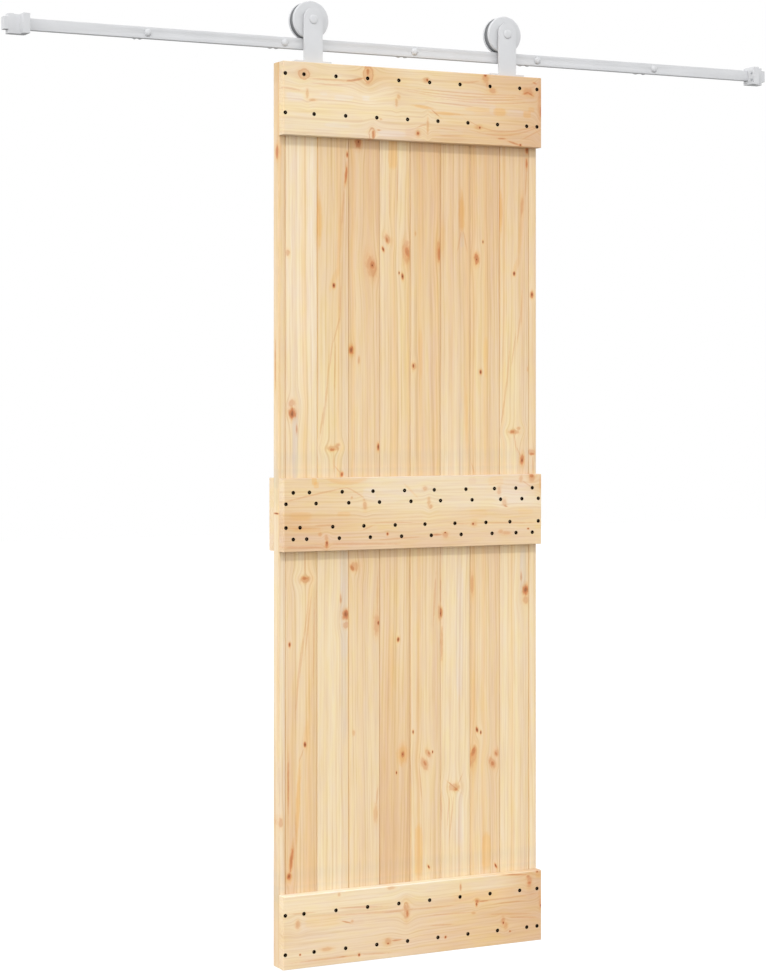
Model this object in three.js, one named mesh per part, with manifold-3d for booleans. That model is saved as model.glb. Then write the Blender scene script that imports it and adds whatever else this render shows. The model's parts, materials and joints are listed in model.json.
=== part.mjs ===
// A pine sliding door with its wall rail: a ledged door of vertical boards, hung by two straps
// from two flanged wheels that roll along the top of a bar. The bar stands off the wall on five
// spacers, each with a bolt through it, and carries a stop at each end.
//
// Millimetres, +Z up. X runs along the rail and Y runs from the room into the wall. The origin is
// where the axis of the middle rail bolt meets the face of the wall, so the wall is the plane
// y = 0 and everything but the bolts' tails is on its -Y side.
import * as THREE from "three";
import { mergeVertices } from "three/addons/utils/BufferGeometryUtils.js";
import Module from "manifold-3d";

const wasm = await Module();
wasm.setup();

// ---------------------------------------------------------------- clearances
const SEAT_GAP = 0.3; // between two pieces that meet face to face
const HOLE_GAP = 0.3; // round a bolt or screw in its hole, on the radius
const RUNNING_GAP = 0.15; // round the axle in its bearing, on the radius
const SIDE_GAP = 1; // between the rail and each flange of a wheel
const ROLL_GAP = 0.2; // between the rail's top and the tread of a wheel

// ---------------------------------------------------------------- door panel
const DOOR_HEIGHT = 2100;
const BOARD_COUNT = 8;
const BOARD_WIDTH = 81.5; // from joint to joint
const BOARD_THICKNESS = 30;
const LEFT_STRIP_WIDTH = 16.5; // the first and the last board are ripped down
const RIGHT_STRIP_WIDTH = 21.5;
const BOARD_CHAMFER = 1.2;
const TONGUE_LENGTH = 6;
const TONGUE_THICKNESS = 8;

// ---------------------------------------------------------------- ledges
const LEDGE_HEIGHT = 170;
const LEDGE_THICKNESS = 25;
const LEDGE_EDGE = 1.5; // eased edge all round
const MIDDLE_LEDGE_CENTRE = 1050; // above the bottom of the door

// The ledges' screws are sunk a little. Rows are measured from the middle of their ledge.
const SCREW_HEAD_RADIUS = 4.7;
const SCREW_SINK = 1.2;
const TOP_LEDGE_UPPER_ROW = 56.5;
const TOP_LEDGE_LOWER_ROW = -34.5;
const BOTTOM_LEDGE_UPPER_ROW = 41;
const BOTTOM_LEDGE_LOWER_ROW = -50;
const MIDDLE_LEDGE_ROWS = [52, 26, -29, -56];
// Each board has a screw in the upper row and one in the lower row, measured from its left joint.
const UPPER_SCREW_OFFSET = 36;
const UPPER_SCREW_DRIFT = 0.9; // the upper row runs ahead of the boards by this much on each
const LOWER_SCREW_OFFSET = 62;
const STRIP_SCREW_INSET = 5.2; // from the left end of the ledge
const LAST_SCREW_INSET = 12.2; // from the right end of the ledge
// On the middle ledge they are driven in slanting pairs, above and below, not quite evenly.
const UPPER_PAIR_OFFSETS = [50, 53, 52, 54, 52, 56.5, 53.5, 31.5];
const LOWER_PAIR_OFFSETS = [43, 45.5, 45, 46, 44, 43.5, 47, 32];
const PAIR_STEP = 17;
const FIRST_PAIR_INSET = 6.8; // outer screw of the first pair, from the left end
const FIRST_PAIR_STEP = 18.5;
const LAST_PAIR_INSET = 8.5; // outer screw of the last pair, from the right end

// ---------------------------------------------------------------- rail and what holds it
const RAIL_LENGTH = 2010;
const RAIL_HEIGHT = 26;
const RAIL_DEPTH = 15;
const SPACER_LENGTH = 37; // from the wall to the back of the rail
const SPACER_RADIUS = 9;
const RAIL_BOLT_COUNT = 5;
const RAIL_BOLT_PITCH = 340;
const RAIL_BOLT_RADIUS = 4;
const RAIL_BOLT_IN_WALL = 45; // how far its tail stands out behind the wall's face
const RAIL_BOLT_POINT = 9; // length of the tail's point
const RAIL_BOLT_HEAD_RADIUS = 8.7;
const RAIL_BOLT_HEAD_HEIGHT = 5;

// ---------------------------------------------------------------- end stops
const STOP_CAP_LENGTH = 10; // the tab at the outer end
const STOP_CAP_DEPTH = 20;
const STOP_CAP_HEIGHT = 28;
const STOP_CAP_LIFT = 1.7; // the middle of the tab above the middle of the stop
const STOP_BODY_LENGTH = 27;
const STOP_BODY_DEPTH = 21;
const STOP_BODY_HEIGHT = 43;
const STOP_WALL = 3; // of the body, past the rail's end
const STOP_DROP = 1.7; // the middle of the stop below the middle of the rail
const STOP_BUMP_LENGTH = 12.5;
const STOP_BUMP_HEIGHT = 1.3;
const STOP_BUFFER_LENGTH = 15; // the wide part that faces the door
const STOP_BUFFER_HEIGHT = 44;
const STOP_BUFFER_REACH = 27; // in front of the rail
const STOP_BUFFER_BACK = 2.5; // behind the rail's front, past its middle
const STOP_SCREW_RADIUS = 2;
const STOP_SCREW_LENGTH = 11;
const STOP_SCREW_HEAD_RADIUS = 2.9;
const STOP_SCREW_HEAD_HEIGHT = 2.5;
const STOP_SCREW_REACH = 19; // in front of the rail
const STOP_SCREW_SPREAD = 17; // between the two, up and down
const STOP_SCREW_DROP = 4; // the middle of the two below the middle of the rail

// ---------------------------------------------------------------- wheels and hangers
const WHEEL_FLANGE_RADIUS = 45;
const WHEEL_TREAD_RADIUS = 42.2;
const WHEEL_WIDTH = 32;
const WHEEL_EDGE = 3; // rounded rim
const BEARING_RADIUS = 11;
const BEARING_SINK = 0.5; // below each face of the wheel
const AXLE_RADIUS = 4;
const AXLE_HEAD_RADIUS = 10.8;
const AXLE_HEAD_HEIGHT = 2.5;
const AXLE_NUT_RADIUS = 7.5; // of the hexagon's corners
const AXLE_NUT_THICKNESS = 6.5;
const BUSH_LENGTH = 7; // between the strap and the wheel
const BUSH_RADIUS = 9;
const HANGER_SPACING = 520;
const HANGER_THICKNESS = 6;
const STRAP_WIDTH = 47;
const AXLE_ABOVE_DOOR = 103.2;
const STRAP_ABOVE_AXLE = 27;
const FOOT_WIDTH = 92;
const FOOT_DEPTH = 40;
const FOOT_CORNER = 5;
const FOLD_RADIUS = 3; // inside the corner of strap and foot
const FOOT_SETBACK = 16.5; // from the front of the ledge to the front of the strap
const FOOT_SCREW_INSET = 13; // from each end of the foot
const FOOT_SCREW_RADIUS = 2.5;
const FOOT_SCREW_LENGTH = 40;
const FOOT_SCREW_HEAD_RADIUS = 5;
const FOOT_SCREW_HEAD_HEIGHT = 3;
const DOOR_REST_X = -16; // the middle of the door, from the middle of the rail

// ---------------------------------------------------------------- how round things are cut
const WHEEL_SIDES = 40;
const HEAD_SIDES = 16;
const SHANK_SIDES = 12;
const RECESS_SIDES = 12;
const DOME_STEPS = 3;
const RIM_STEPS = 3;

// ---------------------------------------------------------------- places that follow
const RAIL_BACK_Y = -SPACER_LENGTH;
const RAIL_FRONT_Y = RAIL_BACK_Y - RAIL_DEPTH;
const RAIL_MIDDLE_Y = (RAIL_BACK_Y + RAIL_FRONT_Y) / 2;
const AXLE_Z = RAIL_HEIGHT / 2 + ROLL_GAP + WHEEL_TREAD_RADIUS;
const DOOR_TOP_Z = AXLE_Z - AXLE_ABOVE_DOOR;
const DOOR_BOTTOM_Z = DOOR_TOP_Z - DOOR_HEIGHT;
const WHEEL_FRONT_Y = RAIL_MIDDLE_Y - WHEEL_WIDTH / 2;
const WHEEL_BACK_Y = RAIL_MIDDLE_Y + WHEEL_WIDTH / 2;
const STRAP_BACK_Y = WHEEL_FRONT_Y - BUSH_LENGTH;
const STRAP_FRONT_Y = STRAP_BACK_Y - HANGER_THICKNESS;
const DOOR_FRONT_Y = STRAP_FRONT_Y - FOOT_SETBACK;
const PANEL_FRONT_Y = DOOR_FRONT_Y + LEDGE_THICKNESS;
const PANEL_BACK_Y = PANEL_FRONT_Y + BOARD_THICKNESS;
const BOARDS_WIDTH = BOARD_COUNT * BOARD_WIDTH;
const DOOR_WIDTH = LEFT_STRIP_WIDTH + BOARDS_WIDTH + RIGHT_STRIP_WIDTH;
const DOOR_LEFT_X = DOOR_REST_X - DOOR_WIDTH / 2;
const AXLE_ABOVE_FOOT = AXLE_ABOVE_DOOR - SEAT_GAP; // from the underside of the foot
const STRAP_HEIGHT = AXLE_ABOVE_FOOT + STRAP_ABOVE_AXLE;
const FOOT_SCREW_SPREAD = FOOT_WIDTH - 2 * FOOT_SCREW_INSET;
const FOOT_SCREW_Y = LEDGE_THICKNESS + BOARD_THICKNESS / 2; // over the middle of the boards
const HANGER_SIDES = [
  { name: "left", x: DOOR_REST_X - HANGER_SPACING / 2 },
  { name: "right", x: DOOR_REST_X + HANGER_SPACING / 2 },
];

// ---------------------------------------------------------------- materials
const finish = {
  pine: { color: 0xf0d7aa, roughness: 0.55, metalness: 0 },
  paint: { color: 0xdddfe0, roughness: 0.4, metalness: 0.1 },
  steel: { color: 0xb9bcbf, roughness: 0.35, metalness: 0.9 },
};

// ---------------------------------------------------------------- solids, joins and cuts
function solidOf(geometry) {
  const bare = geometry.clone();
  bare.deleteAttribute("normal");
  bare.deleteAttribute("uv");
  const merged = mergeVertices(bare, 1e-4);
  return new wasm.Manifold(
    new wasm.Mesh({
      numProp: 3,
      vertProperties: merged.attributes.position.array,
      triVerts: new Uint32Array(merged.index.array),
    }),
  );
}

function geometryOf(solid) {
  const mesh = solid.getMesh();
  const geometry = new THREE.BufferGeometry();
  geometry.setAttribute("position", new THREE.BufferAttribute(mesh.vertProperties, mesh.numProp));
  geometry.setIndex(new THREE.BufferAttribute(mesh.triVerts, 1));
  const faceted = geometry.toNonIndexed();
  faceted.computeVertexNormals();
  return faceted;
}

function joined(...geometries) {
  return geometryOf(geometries.map(solidOf).reduce((sum, next) => sum.add(next)));
}

function cut(geometry, cutters) {
  return geometryOf(cutters.map(solidOf).reduce((left, next) => left.subtract(next), solidOf(geometry)));
}

function common(a, b) {
  return geometryOf(solidOf(a).intersect(solidOf(b)));
}

// A box between two corners.
function box(low, high) {
  const size = high.map((value, i) => value - low[i]);
  const middle = high.map((value, i) => (value + low[i]) / 2);
  return new THREE.BoxGeometry(...size).translate(...middle);
}

// A rod along Y, from y = start to y = end, at x and z.
function rodAlongY(radius, start, end, sides, x = 0, z = 0) {
  const rod = new THREE.CylinderGeometry(radius, radius, end - start, sides);
  return rod.translate(x, (start + end) / 2, z);
}

// A body turned about Y from a profile of [radius, y] points that ends where it starts, or on the axis.
function turned(profile, sides) {
  const points = profile.map(([radius, y]) => new THREE.Vector2(radius, y));
  return new THREE.LatheGeometry(points, sides);
}

// A plate whose outline is drawn in X and Z, and whose thickness runs from y = 0 towards -Y.
function plateFacingFront(shape, thickness, edge = 0) {
  const plate = new THREE.ExtrudeGeometry(shape, {
    depth: thickness - 2 * edge,
    bevelEnabled: edge > 0,
    bevelThickness: edge,
    bevelSize: edge,
    bevelOffset: -edge,
    bevelSegments: 2,
    curveSegments: 12,
  });
  return plate.translate(0, 0, edge).rotateX(Math.PI / 2);
}

function rectangle(left, bottom, width, height) {
  const shape = new THREE.Shape();
  shape.moveTo(left, bottom);
  shape.lineTo(left + width, bottom);
  shape.lineTo(left + width, bottom + height);
  shape.lineTo(left, bottom + height);
  shape.closePath();
  return shape;
}

// A regular polygon with a round hole through it.
function polygonRing(radius, sides, holeRadius) {
  const shape = new THREE.Shape();
  for (let i = 0; i < sides; i++) {
    const angle = (i / sides) * 2 * Math.PI;
    const point = [radius * Math.cos(angle), radius * Math.sin(angle)];
    if (i === 0) shape.moveTo(...point);
    else shape.lineTo(...point);
  }
  shape.closePath();
  const hole = new THREE.Path().absarc(0, 0, holeRadius, 0, 2 * Math.PI, true);
  shape.holes.push(hole);
  return shape;
}

// A domed head and its shank along Y: the head stands towards -Y from y = 0, the shank runs to
// +length and ends in a point.
function domedScrew({ headRadius, headHeight, radius, length, point = 0, sides = SHANK_SIDES }) {
  const profile = [];
  for (let i = 0; i <= DOME_STEPS; i++) {
    const angle = (i / DOME_STEPS) * (Math.PI / 2);
    profile.push([headRadius * Math.sin(angle), -headHeight * Math.cos(angle)]);
  }
  profile.push([radius, 0]);
  profile.push([radius, length - point]);
  if (point > 0) profile.push([radius / 4, length]);
  profile.push([0, length]);
  return turned(profile, sides);
}

function piece(name, geometry, look) {
  const mesh = new THREE.Mesh(geometry, new THREE.MeshStandardMaterial(finish[look]));
  mesh.name = name;
  return mesh;
}

// ---------------------------------------------------------------- the track, fixed to the wall
const railBoltPlaces = Array.from(
  { length: RAIL_BOLT_COUNT },
  (_, i) => (i - (RAIL_BOLT_COUNT - 1) / 2) * RAIL_BOLT_PITCH,
);

function rail() {
  const low = [-RAIL_LENGTH / 2, RAIL_FRONT_Y, -RAIL_HEIGHT / 2];
  const high = [RAIL_LENGTH / 2, RAIL_BACK_Y - SEAT_GAP, RAIL_HEIGHT / 2];
  const holes = railBoltPlaces.map((x) =>
    rodAlongY(RAIL_BOLT_RADIUS + HOLE_GAP, RAIL_FRONT_Y - 1, RAIL_BACK_Y + 1, SHANK_SIDES, x),
  );
  return piece("rail", cut(box(low, high), holes), "paint");
}

function railSpacer(number, x) {
  const hole = RAIL_BOLT_RADIUS + HOLE_GAP;
  const tube = turned(
    [
      [hole, -SPACER_LENGTH],
      [SPACER_RADIUS, -SPACER_LENGTH],
      [SPACER_RADIUS, 0],
      [hole, 0],
      [hole, -SPACER_LENGTH],
    ],
    HEAD_SIDES,
  );
  const spacer = piece(`rail_spacer_${number}`, tube, "paint");
  spacer.position.x = x;
  return spacer;
}

function railBolt(number, x) {
  const screw = domedScrew({
    headRadius: RAIL_BOLT_HEAD_RADIUS,
    headHeight: RAIL_BOLT_HEAD_HEIGHT,
    radius: RAIL_BOLT_RADIUS,
    length: RAIL_DEPTH + SPACER_LENGTH + RAIL_BOLT_IN_WALL + SEAT_GAP,
    point: RAIL_BOLT_POINT,
    sides: HEAD_SIDES,
  });
  const bolt = piece(`rail_bolt_${number}`, screw, "paint");
  bolt.position.set(x, RAIL_FRONT_Y - SEAT_GAP, 0);
  return bolt;
}

// side is -1 for the left end of the rail and +1 for the right end.
function endStop(name, side) {
  const holeEnd = RAIL_LENGTH / 2 + SEAT_GAP;
  const bodyEnd = holeEnd + STOP_WALL;
  const capEnd = bodyEnd + STOP_CAP_LENGTH;
  const bufferEnd = bodyEnd - STOP_BODY_LENGTH;
  const face = bufferEnd - STOP_BUFFER_LENGTH;
  const block = (from, to, frontY, backY, height, lift = 0) => {
    const ends = [side * from, side * to].sort((a, b) => a - b);
    const middle = lift - STOP_DROP;
    return box([ends[0], frontY, middle - height / 2], [ends[1], backY, middle + height / 2]);
  };
  const centred = (from, to, depth, height, lift) =>
    block(from, to, RAIL_MIDDLE_Y - depth / 2, RAIL_MIDDLE_Y + depth / 2, height, lift);
  const solid = joined(
    centred(bodyEnd - 1, capEnd, STOP_CAP_DEPTH, STOP_CAP_HEIGHT, STOP_CAP_LIFT),
    centred(bufferEnd, bodyEnd, STOP_BODY_DEPTH, STOP_BODY_HEIGHT),
    centred(bodyEnd - STOP_BUMP_LENGTH, bodyEnd, STOP_BODY_DEPTH, STOP_BODY_HEIGHT, STOP_BUMP_HEIGHT),
    block(
      face,
      bufferEnd + 1,
      RAIL_FRONT_Y - STOP_BUFFER_REACH,
      RAIL_MIDDLE_Y + STOP_BUFFER_BACK,
      STOP_BUFFER_HEIGHT,
    ),
    centred(face, bufferEnd + 1, STOP_BODY_DEPTH, STOP_BODY_HEIGHT),
  );
  const railHole = centred(
    face - 1,
    holeEnd,
    RAIL_DEPTH + 2 * SEAT_GAP,
    RAIL_HEIGHT + 2 * SEAT_GAP,
    STOP_DROP,
  );
  const screwZ = (up) => (up * STOP_SCREW_SPREAD) / 2 - STOP_SCREW_DROP;
  const screwHoles = [-1, 1].map((up) => {
    const hole = new THREE.CylinderGeometry(
      STOP_SCREW_RADIUS + HOLE_GAP,
      STOP_SCREW_RADIUS + HOLE_GAP,
      2 * (STOP_SCREW_LENGTH + SEAT_GAP),
      SHANK_SIDES,
    );
    return hole
      .rotateZ(Math.PI / 2)
      .translate(side * face, RAIL_FRONT_Y - STOP_SCREW_REACH, screwZ(up));
  });
  const group = new THREE.Group();
  group.add(piece(`end_stop_${name}`, cut(solid, [railHole, ...screwHoles]), "paint"));
  for (const [level, up] of [["lower", -1], ["upper", 1]]) {
    const screw = piece(
      `end_stop_${name}_screw_${level}`,
      domedScrew({
        headRadius: STOP_SCREW_HEAD_RADIUS,
        headHeight: STOP_SCREW_HEAD_HEIGHT,
        radius: STOP_SCREW_RADIUS,
        length: STOP_SCREW_LENGTH,
      }),
      "steel",
    );
    screw.rotation.z = (-side * Math.PI) / 2;
    screw.position.set(
      side * (face - SEAT_GAP),
      RAIL_FRONT_Y - STOP_SCREW_REACH,
      screwZ(up),
    );
    group.add(screw);
  }
  return group;
}

function track() {
  const group = new THREE.Group();
  group.add(rail());
  railBoltPlaces.forEach((x, i) => group.add(railSpacer(i + 1, x), railBolt(i + 1, x)));
  group.add(endStop("left", -1), endStop("right", 1));
  return group;
}

// ---------------------------------------------------------------- the door's wood
// Joints between boards, from the left end of the door: joint k is the left side of board k + 1.
const boardJoint = (k) => LEFT_STRIP_WIDTH + k * BOARD_WIDTH;

// Where the hangers' foot screws go into the boards' top ends, in the door's own frame.
const footScrewPlaces = HANGER_SIDES.flatMap(({ name, x }) =>
  [-1, 1].map((hand) => ({
    name: `foot_screw_${name}_${hand < 0 ? "a" : "b"}`,
    x: x - DOOR_LEFT_X + (hand * FOOT_SCREW_SPREAD) / 2,
    y: FOOT_SCREW_Y,
  })),
);

// The section of a board, with a groove in its left side and a tongue on its right side where
// it meets a neighbour.
function boardSection(left, right, grooved, tongued) {
  const low = left + (grooved ? SEAT_GAP / 2 : 0);
  const high = right - (tongued ? SEAT_GAP / 2 : 0);
  const half = BOARD_THICKNESS / 2;
  const tongue = TONGUE_THICKNESS / 2;
  const groove = tongue + SEAT_GAP;
  const shape = new THREE.Shape();
  shape.moveTo(low + BOARD_CHAMFER, -half);
  shape.lineTo(high - BOARD_CHAMFER, -half);
  shape.lineTo(high, -half + BOARD_CHAMFER);
  if (tongued) {
    shape.lineTo(high, -tongue);
    shape.lineTo(high + TONGUE_LENGTH, -tongue);
    shape.lineTo(high + TONGUE_LENGTH, tongue);
    shape.lineTo(high, tongue);
  }
  shape.lineTo(high, half - BOARD_CHAMFER);
  shape.lineTo(high - BOARD_CHAMFER, half);
  shape.lineTo(low + BOARD_CHAMFER, half);
  shape.lineTo(low, half - BOARD_CHAMFER);
  if (grooved) {
    shape.lineTo(low, groove);
    shape.lineTo(low + TONGUE_LENGTH, groove);
    shape.lineTo(low + TONGUE_LENGTH, -groove);
    shape.lineTo(low, -groove);
  }
  shape.lineTo(low, -half + BOARD_CHAMFER);
  shape.closePath();
  return shape;
}

function board(name, left, right, grooved, tongued) {
  const section = boardSection(left, right, grooved, tongued);
  const plain = new THREE.ExtrudeGeometry(section, { depth: DOOR_HEIGHT, bevelEnabled: false });
  plain.translate(0, LEDGE_THICKNESS + BOARD_THICKNESS / 2, 0);
  const radius = FOOT_SCREW_RADIUS + HOLE_GAP;
  const holes = footScrewPlaces
    .filter(({ x }) => x + radius > left && x - radius < right)
    .map(({ x, y }) =>
      new THREE.CylinderGeometry(radius, radius, 2 * FOOT_SCREW_LENGTH, SHANK_SIDES)
        .rotateX(Math.PI / 2)
        .translate(x, y, DOOR_HEIGHT),
    );
  return piece(name, holes.length > 0 ? cut(plain, holes) : plain, "pine");
}

function boards() {
  const made = [board("edge_strip_left", 0, boardJoint(0), false, true)];
  for (let k = 0; k < BOARD_COUNT; k++) {
    made.push(board(`board_${k + 1}`, boardJoint(k), boardJoint(k + 1), true, true));
  }
  made.push(board("edge_strip_right", boardJoint(BOARD_COUNT), DOOR_WIDTH, true, false));
  return made;
}

function upperRow(z) {
  const places = [{ x: STRIP_SCREW_INSET, z }];
  for (let k = 0; k < BOARD_COUNT; k++) {
    places.push({ x: boardJoint(k) + UPPER_SCREW_OFFSET + k * UPPER_SCREW_DRIFT, z });
  }
  places.push({ x: DOOR_WIDTH - LAST_SCREW_INSET, z });
  return places;
}

function lowerRow(z) {
  const places = [{ x: STRIP_SCREW_INSET, z }];
  for (let k = 0; k < BOARD_COUNT; k++) places.push({ x: boardJoint(k) + LOWER_SCREW_OFFSET, z });
  places.push({ x: DOOR_WIDTH - LAST_SCREW_INSET, z });
  return places;
}

// Slanting pairs: each has one screw in the inner row and one in the outer row, a step further on.
function pairs(offsets, step, innerZ, outerZ) {
  const places = [
    { x: FIRST_PAIR_INSET, z: outerZ },
    { x: FIRST_PAIR_INSET + FIRST_PAIR_STEP, z: innerZ },
  ];
  for (let k = 0; k < BOARD_COUNT; k++) {
    const x = boardJoint(k) + offsets[k % offsets.length];
    places.push({ x, z: innerZ }, { x: x + step, z: outerZ });
  }
  places.push(
    { x: DOOR_WIDTH - LAST_PAIR_INSET - PAIR_STEP, z: innerZ },
    { x: DOOR_WIDTH - LAST_PAIR_INSET, z: outerZ },
  );
  return places;
}

// A ledge across the door. Its screws are one with it, each a sunk round face.
function ledge(name, bottom, screws) {
  const blank = plateFacingFront(
    rectangle(0, 0, DOOR_WIDTH, LEDGE_HEIGHT),
    LEDGE_THICKNESS - SEAT_GAP,
    LEDGE_EDGE,
  );
  const front = -(LEDGE_THICKNESS - SEAT_GAP);
  const middle = LEDGE_HEIGHT / 2;
  const sunk = screws.map(({ x, z }) =>
    rodAlongY(SCREW_HEAD_RADIUS, front - SCREW_SINK, front + SCREW_SINK, RECESS_SIDES, x, middle + z),
  );
  const mesh = piece(name, sunk.length > 0 ? cut(blank, sunk) : blank, "pine");
  mesh.position.z = bottom;
  return mesh;
}

function frontLedges() {
  const [outerUp, innerUp, outerDown, innerDown] = MIDDLE_LEDGE_ROWS;
  const ledges = [
    ledge("front_ledge_top", DOOR_HEIGHT - LEDGE_HEIGHT, [
      ...upperRow(TOP_LEDGE_UPPER_ROW),
      ...lowerRow(TOP_LEDGE_LOWER_ROW),
    ]),
    ledge("front_ledge_middle", MIDDLE_LEDGE_CENTRE - LEDGE_HEIGHT / 2, [
      ...pairs(UPPER_PAIR_OFFSETS, PAIR_STEP, outerUp, innerUp),
      ...pairs(LOWER_PAIR_OFFSETS, -PAIR_STEP, innerDown, outerDown),
    ]),
    ledge("front_ledge_bottom", 0, [
      ...upperRow(BOTTOM_LEDGE_UPPER_ROW),
      ...lowerRow(BOTTOM_LEDGE_LOWER_ROW),
    ]),
  ];
  for (const each of ledges) each.position.y = LEDGE_THICKNESS - SEAT_GAP;
  return ledges;
}

function rearLedge() {
  const mesh = ledge("rear_ledge_middle", MIDDLE_LEDGE_CENTRE - LEDGE_HEIGHT / 2, []);
  mesh.position.y = 2 * LEDGE_THICKNESS + BOARD_THICKNESS;
  return mesh;
}

// ---------------------------------------------------------------- hangers, axles and wheels
function strapOutline() {
  const half = STRAP_WIDTH / 2;
  const shoulder = STRAP_HEIGHT - half;
  const shape = new THREE.Shape();
  shape.moveTo(-half, 0);
  shape.lineTo(half, 0);
  shape.lineTo(half, shoulder);
  shape.absarc(0, shoulder, half, 0, Math.PI, false);
  shape.closePath();
  return shape;
}

// The side view of strap and foot, drawn with X as the depth from the strap's front.
function foldOutline() {
  const inner = HANGER_THICKNESS + FOLD_RADIUS;
  const top = STRAP_HEIGHT + 1;
  const shape = new THREE.Shape();
  shape.moveTo(0, 0);
  shape.lineTo(FOOT_DEPTH, 0);
  shape.lineTo(FOOT_DEPTH, HANGER_THICKNESS);
  shape.lineTo(inner, HANGER_THICKNESS);
  shape.absarc(inner, inner, FOLD_RADIUS, -Math.PI / 2, -Math.PI, true);
  shape.lineTo(HANGER_THICKNESS, top);
  shape.lineTo(0, top);
  shape.closePath();
  return shape;
}

function footOutline() {
  const half = FOOT_WIDTH / 2;
  const corner = FOOT_CORNER;
  const shape = new THREE.Shape();
  shape.moveTo(-half, 0);
  shape.lineTo(half, 0);
  shape.lineTo(half, FOOT_DEPTH - corner);
  shape.absarc(half - corner, FOOT_DEPTH - corner, corner, 0, Math.PI / 2, false);
  shape.lineTo(-half + corner, FOOT_DEPTH);
  shape.absarc(-half + corner, FOOT_DEPTH - corner, corner, Math.PI / 2, Math.PI, false);
  shape.closePath();
  return shape;
}

// Strap and foot are one folded plate. Its own frame is at the strap's front, under the foot.
function hanger(name) {
  const arcs = { bevelEnabled: false, curveSegments: 8 };
  const strap = plateFacingFront(strapOutline(), FOOT_DEPTH).translate(0, FOOT_DEPTH, 0);
  const fold = new THREE.ExtrudeGeometry(foldOutline(), { ...arcs, depth: STRAP_WIDTH });
  fold.rotateX(Math.PI / 2).rotateZ(Math.PI / 2).translate(-STRAP_WIDTH / 2, 0, 0);
  const foot = new THREE.ExtrudeGeometry(footOutline(), { ...arcs, depth: HANGER_THICKNESS });
  const axleHole = rodAlongY(
    AXLE_RADIUS + HOLE_GAP,
    -1,
    HANGER_THICKNESS + 1,
    SHANK_SIDES,
    0,
    AXLE_ABOVE_FOOT,
  );
  const screwHoles = [-1, 1].map((hand) =>
    new THREE.CylinderGeometry(
      FOOT_SCREW_RADIUS + HOLE_GAP,
      FOOT_SCREW_RADIUS + HOLE_GAP,
      3 * HANGER_THICKNESS,
      SHANK_SIDES,
    )
      .rotateX(Math.PI / 2)
      .translate((hand * FOOT_SCREW_SPREAD) / 2, FOOT_SCREW_Y - FOOT_SETBACK, 0),
  );
  const folded = cut(joined(common(strap, fold), foot), [axleHole, ...screwHoles]);
  return piece(`hanger_${name}`, folded, "paint");
}

function footScrew(name) {
  const screw = domedScrew({
    headRadius: FOOT_SCREW_HEAD_RADIUS,
    headHeight: FOOT_SCREW_HEAD_HEIGHT,
    radius: FOOT_SCREW_RADIUS,
    length: FOOT_SCREW_LENGTH,
    point: 2 * FOOT_SCREW_RADIUS,
  });
  return piece(name, screw.rotateX(-Math.PI / 2), "steel");
}

function axleBolt(name) {
  const reach = WHEEL_BACK_Y - STRAP_FRONT_Y + AXLE_NUT_THICKNESS + 2;
  const bolt = domedScrew({
    headRadius: AXLE_HEAD_RADIUS,
    headHeight: AXLE_HEAD_HEIGHT,
    radius: AXLE_RADIUS,
    length: reach,
    sides: HEAD_SIDES,
  });
  return piece(`axle_bolt_${name}`, bolt, "paint");
}

function axleNut(name) {
  const ring = polygonRing(AXLE_NUT_RADIUS, 6, AXLE_RADIUS + HOLE_GAP);
  return piece(`axle_nut_${name}`, plateFacingFront(ring, AXLE_NUT_THICKNESS), "steel");
}

function axleBush(name) {
  const ring = polygonRing(BUSH_RADIUS, HEAD_SIDES, AXLE_RADIUS + HOLE_GAP);
  return piece(`axle_bush_${name}`, plateFacingFront(ring, BUSH_LENGTH - 2 * SEAT_GAP), "steel");
}

// The half profile of a rounded rim, from the wheel's face to the side of its groove.
function rim(face, grooveSide) {
  const inward = Math.sign(grooveSide - face);
  const points = [];
  for (let i = 0; i <= RIM_STEPS; i++) {
    const angle = (i / RIM_STEPS) * (Math.PI / 2);
    points.push([
      WHEEL_FLANGE_RADIUS - WHEEL_EDGE + WHEEL_EDGE * Math.sin(angle),
      face + inward * WHEEL_EDGE * (1 - Math.cos(angle)),
    ]);
  }
  points.push([WHEEL_FLANGE_RADIUS, grooveSide - inward * SIDE_GAP]);
  points.push([WHEEL_TREAD_RADIUS, grooveSide]);
  return points;
}

function wheel(name) {
  const half = WHEEL_WIDTH / 2;
  const groove = RAIL_DEPTH / 2 + SIDE_GAP;
  const bore = BEARING_RADIUS + HOLE_GAP;
  const profile = [[bore, -half], ...rim(-half, -groove), ...rim(half, groove).reverse(), [bore, half]];
  profile.push(profile[0]);
  return piece(`wheel_${name}`, turned(profile, WHEEL_SIDES), "paint");
}

function bearing(name) {
  const half = WHEEL_WIDTH / 2 - BEARING_SINK;
  const bore = AXLE_RADIUS + RUNNING_GAP;
  const profile = [
    [bore, -half],
    [BEARING_RADIUS, -half],
    [BEARING_RADIUS, half],
    [bore, half],
    [bore, -half],
  ];
  return piece(`wheel_bearing_${name}`, turned(profile, HEAD_SIDES), "steel");
}

// ---------------------------------------------------------------- assembly
function door() {
  const group = new THREE.Group();
  group.position.set(DOOR_LEFT_X, DOOR_FRONT_Y, DOOR_BOTTOM_Z);
  group.add(...boards(), ...frontLedges(), rearLedge());
  for (const { name, x, y } of footScrewPlaces) {
    const screw = footScrew(name);
    screw.position.set(x, y, DOOR_HEIGHT + HANGER_THICKNESS + 2 * SEAT_GAP);
    group.add(screw);
  }
  return group;
}

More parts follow.
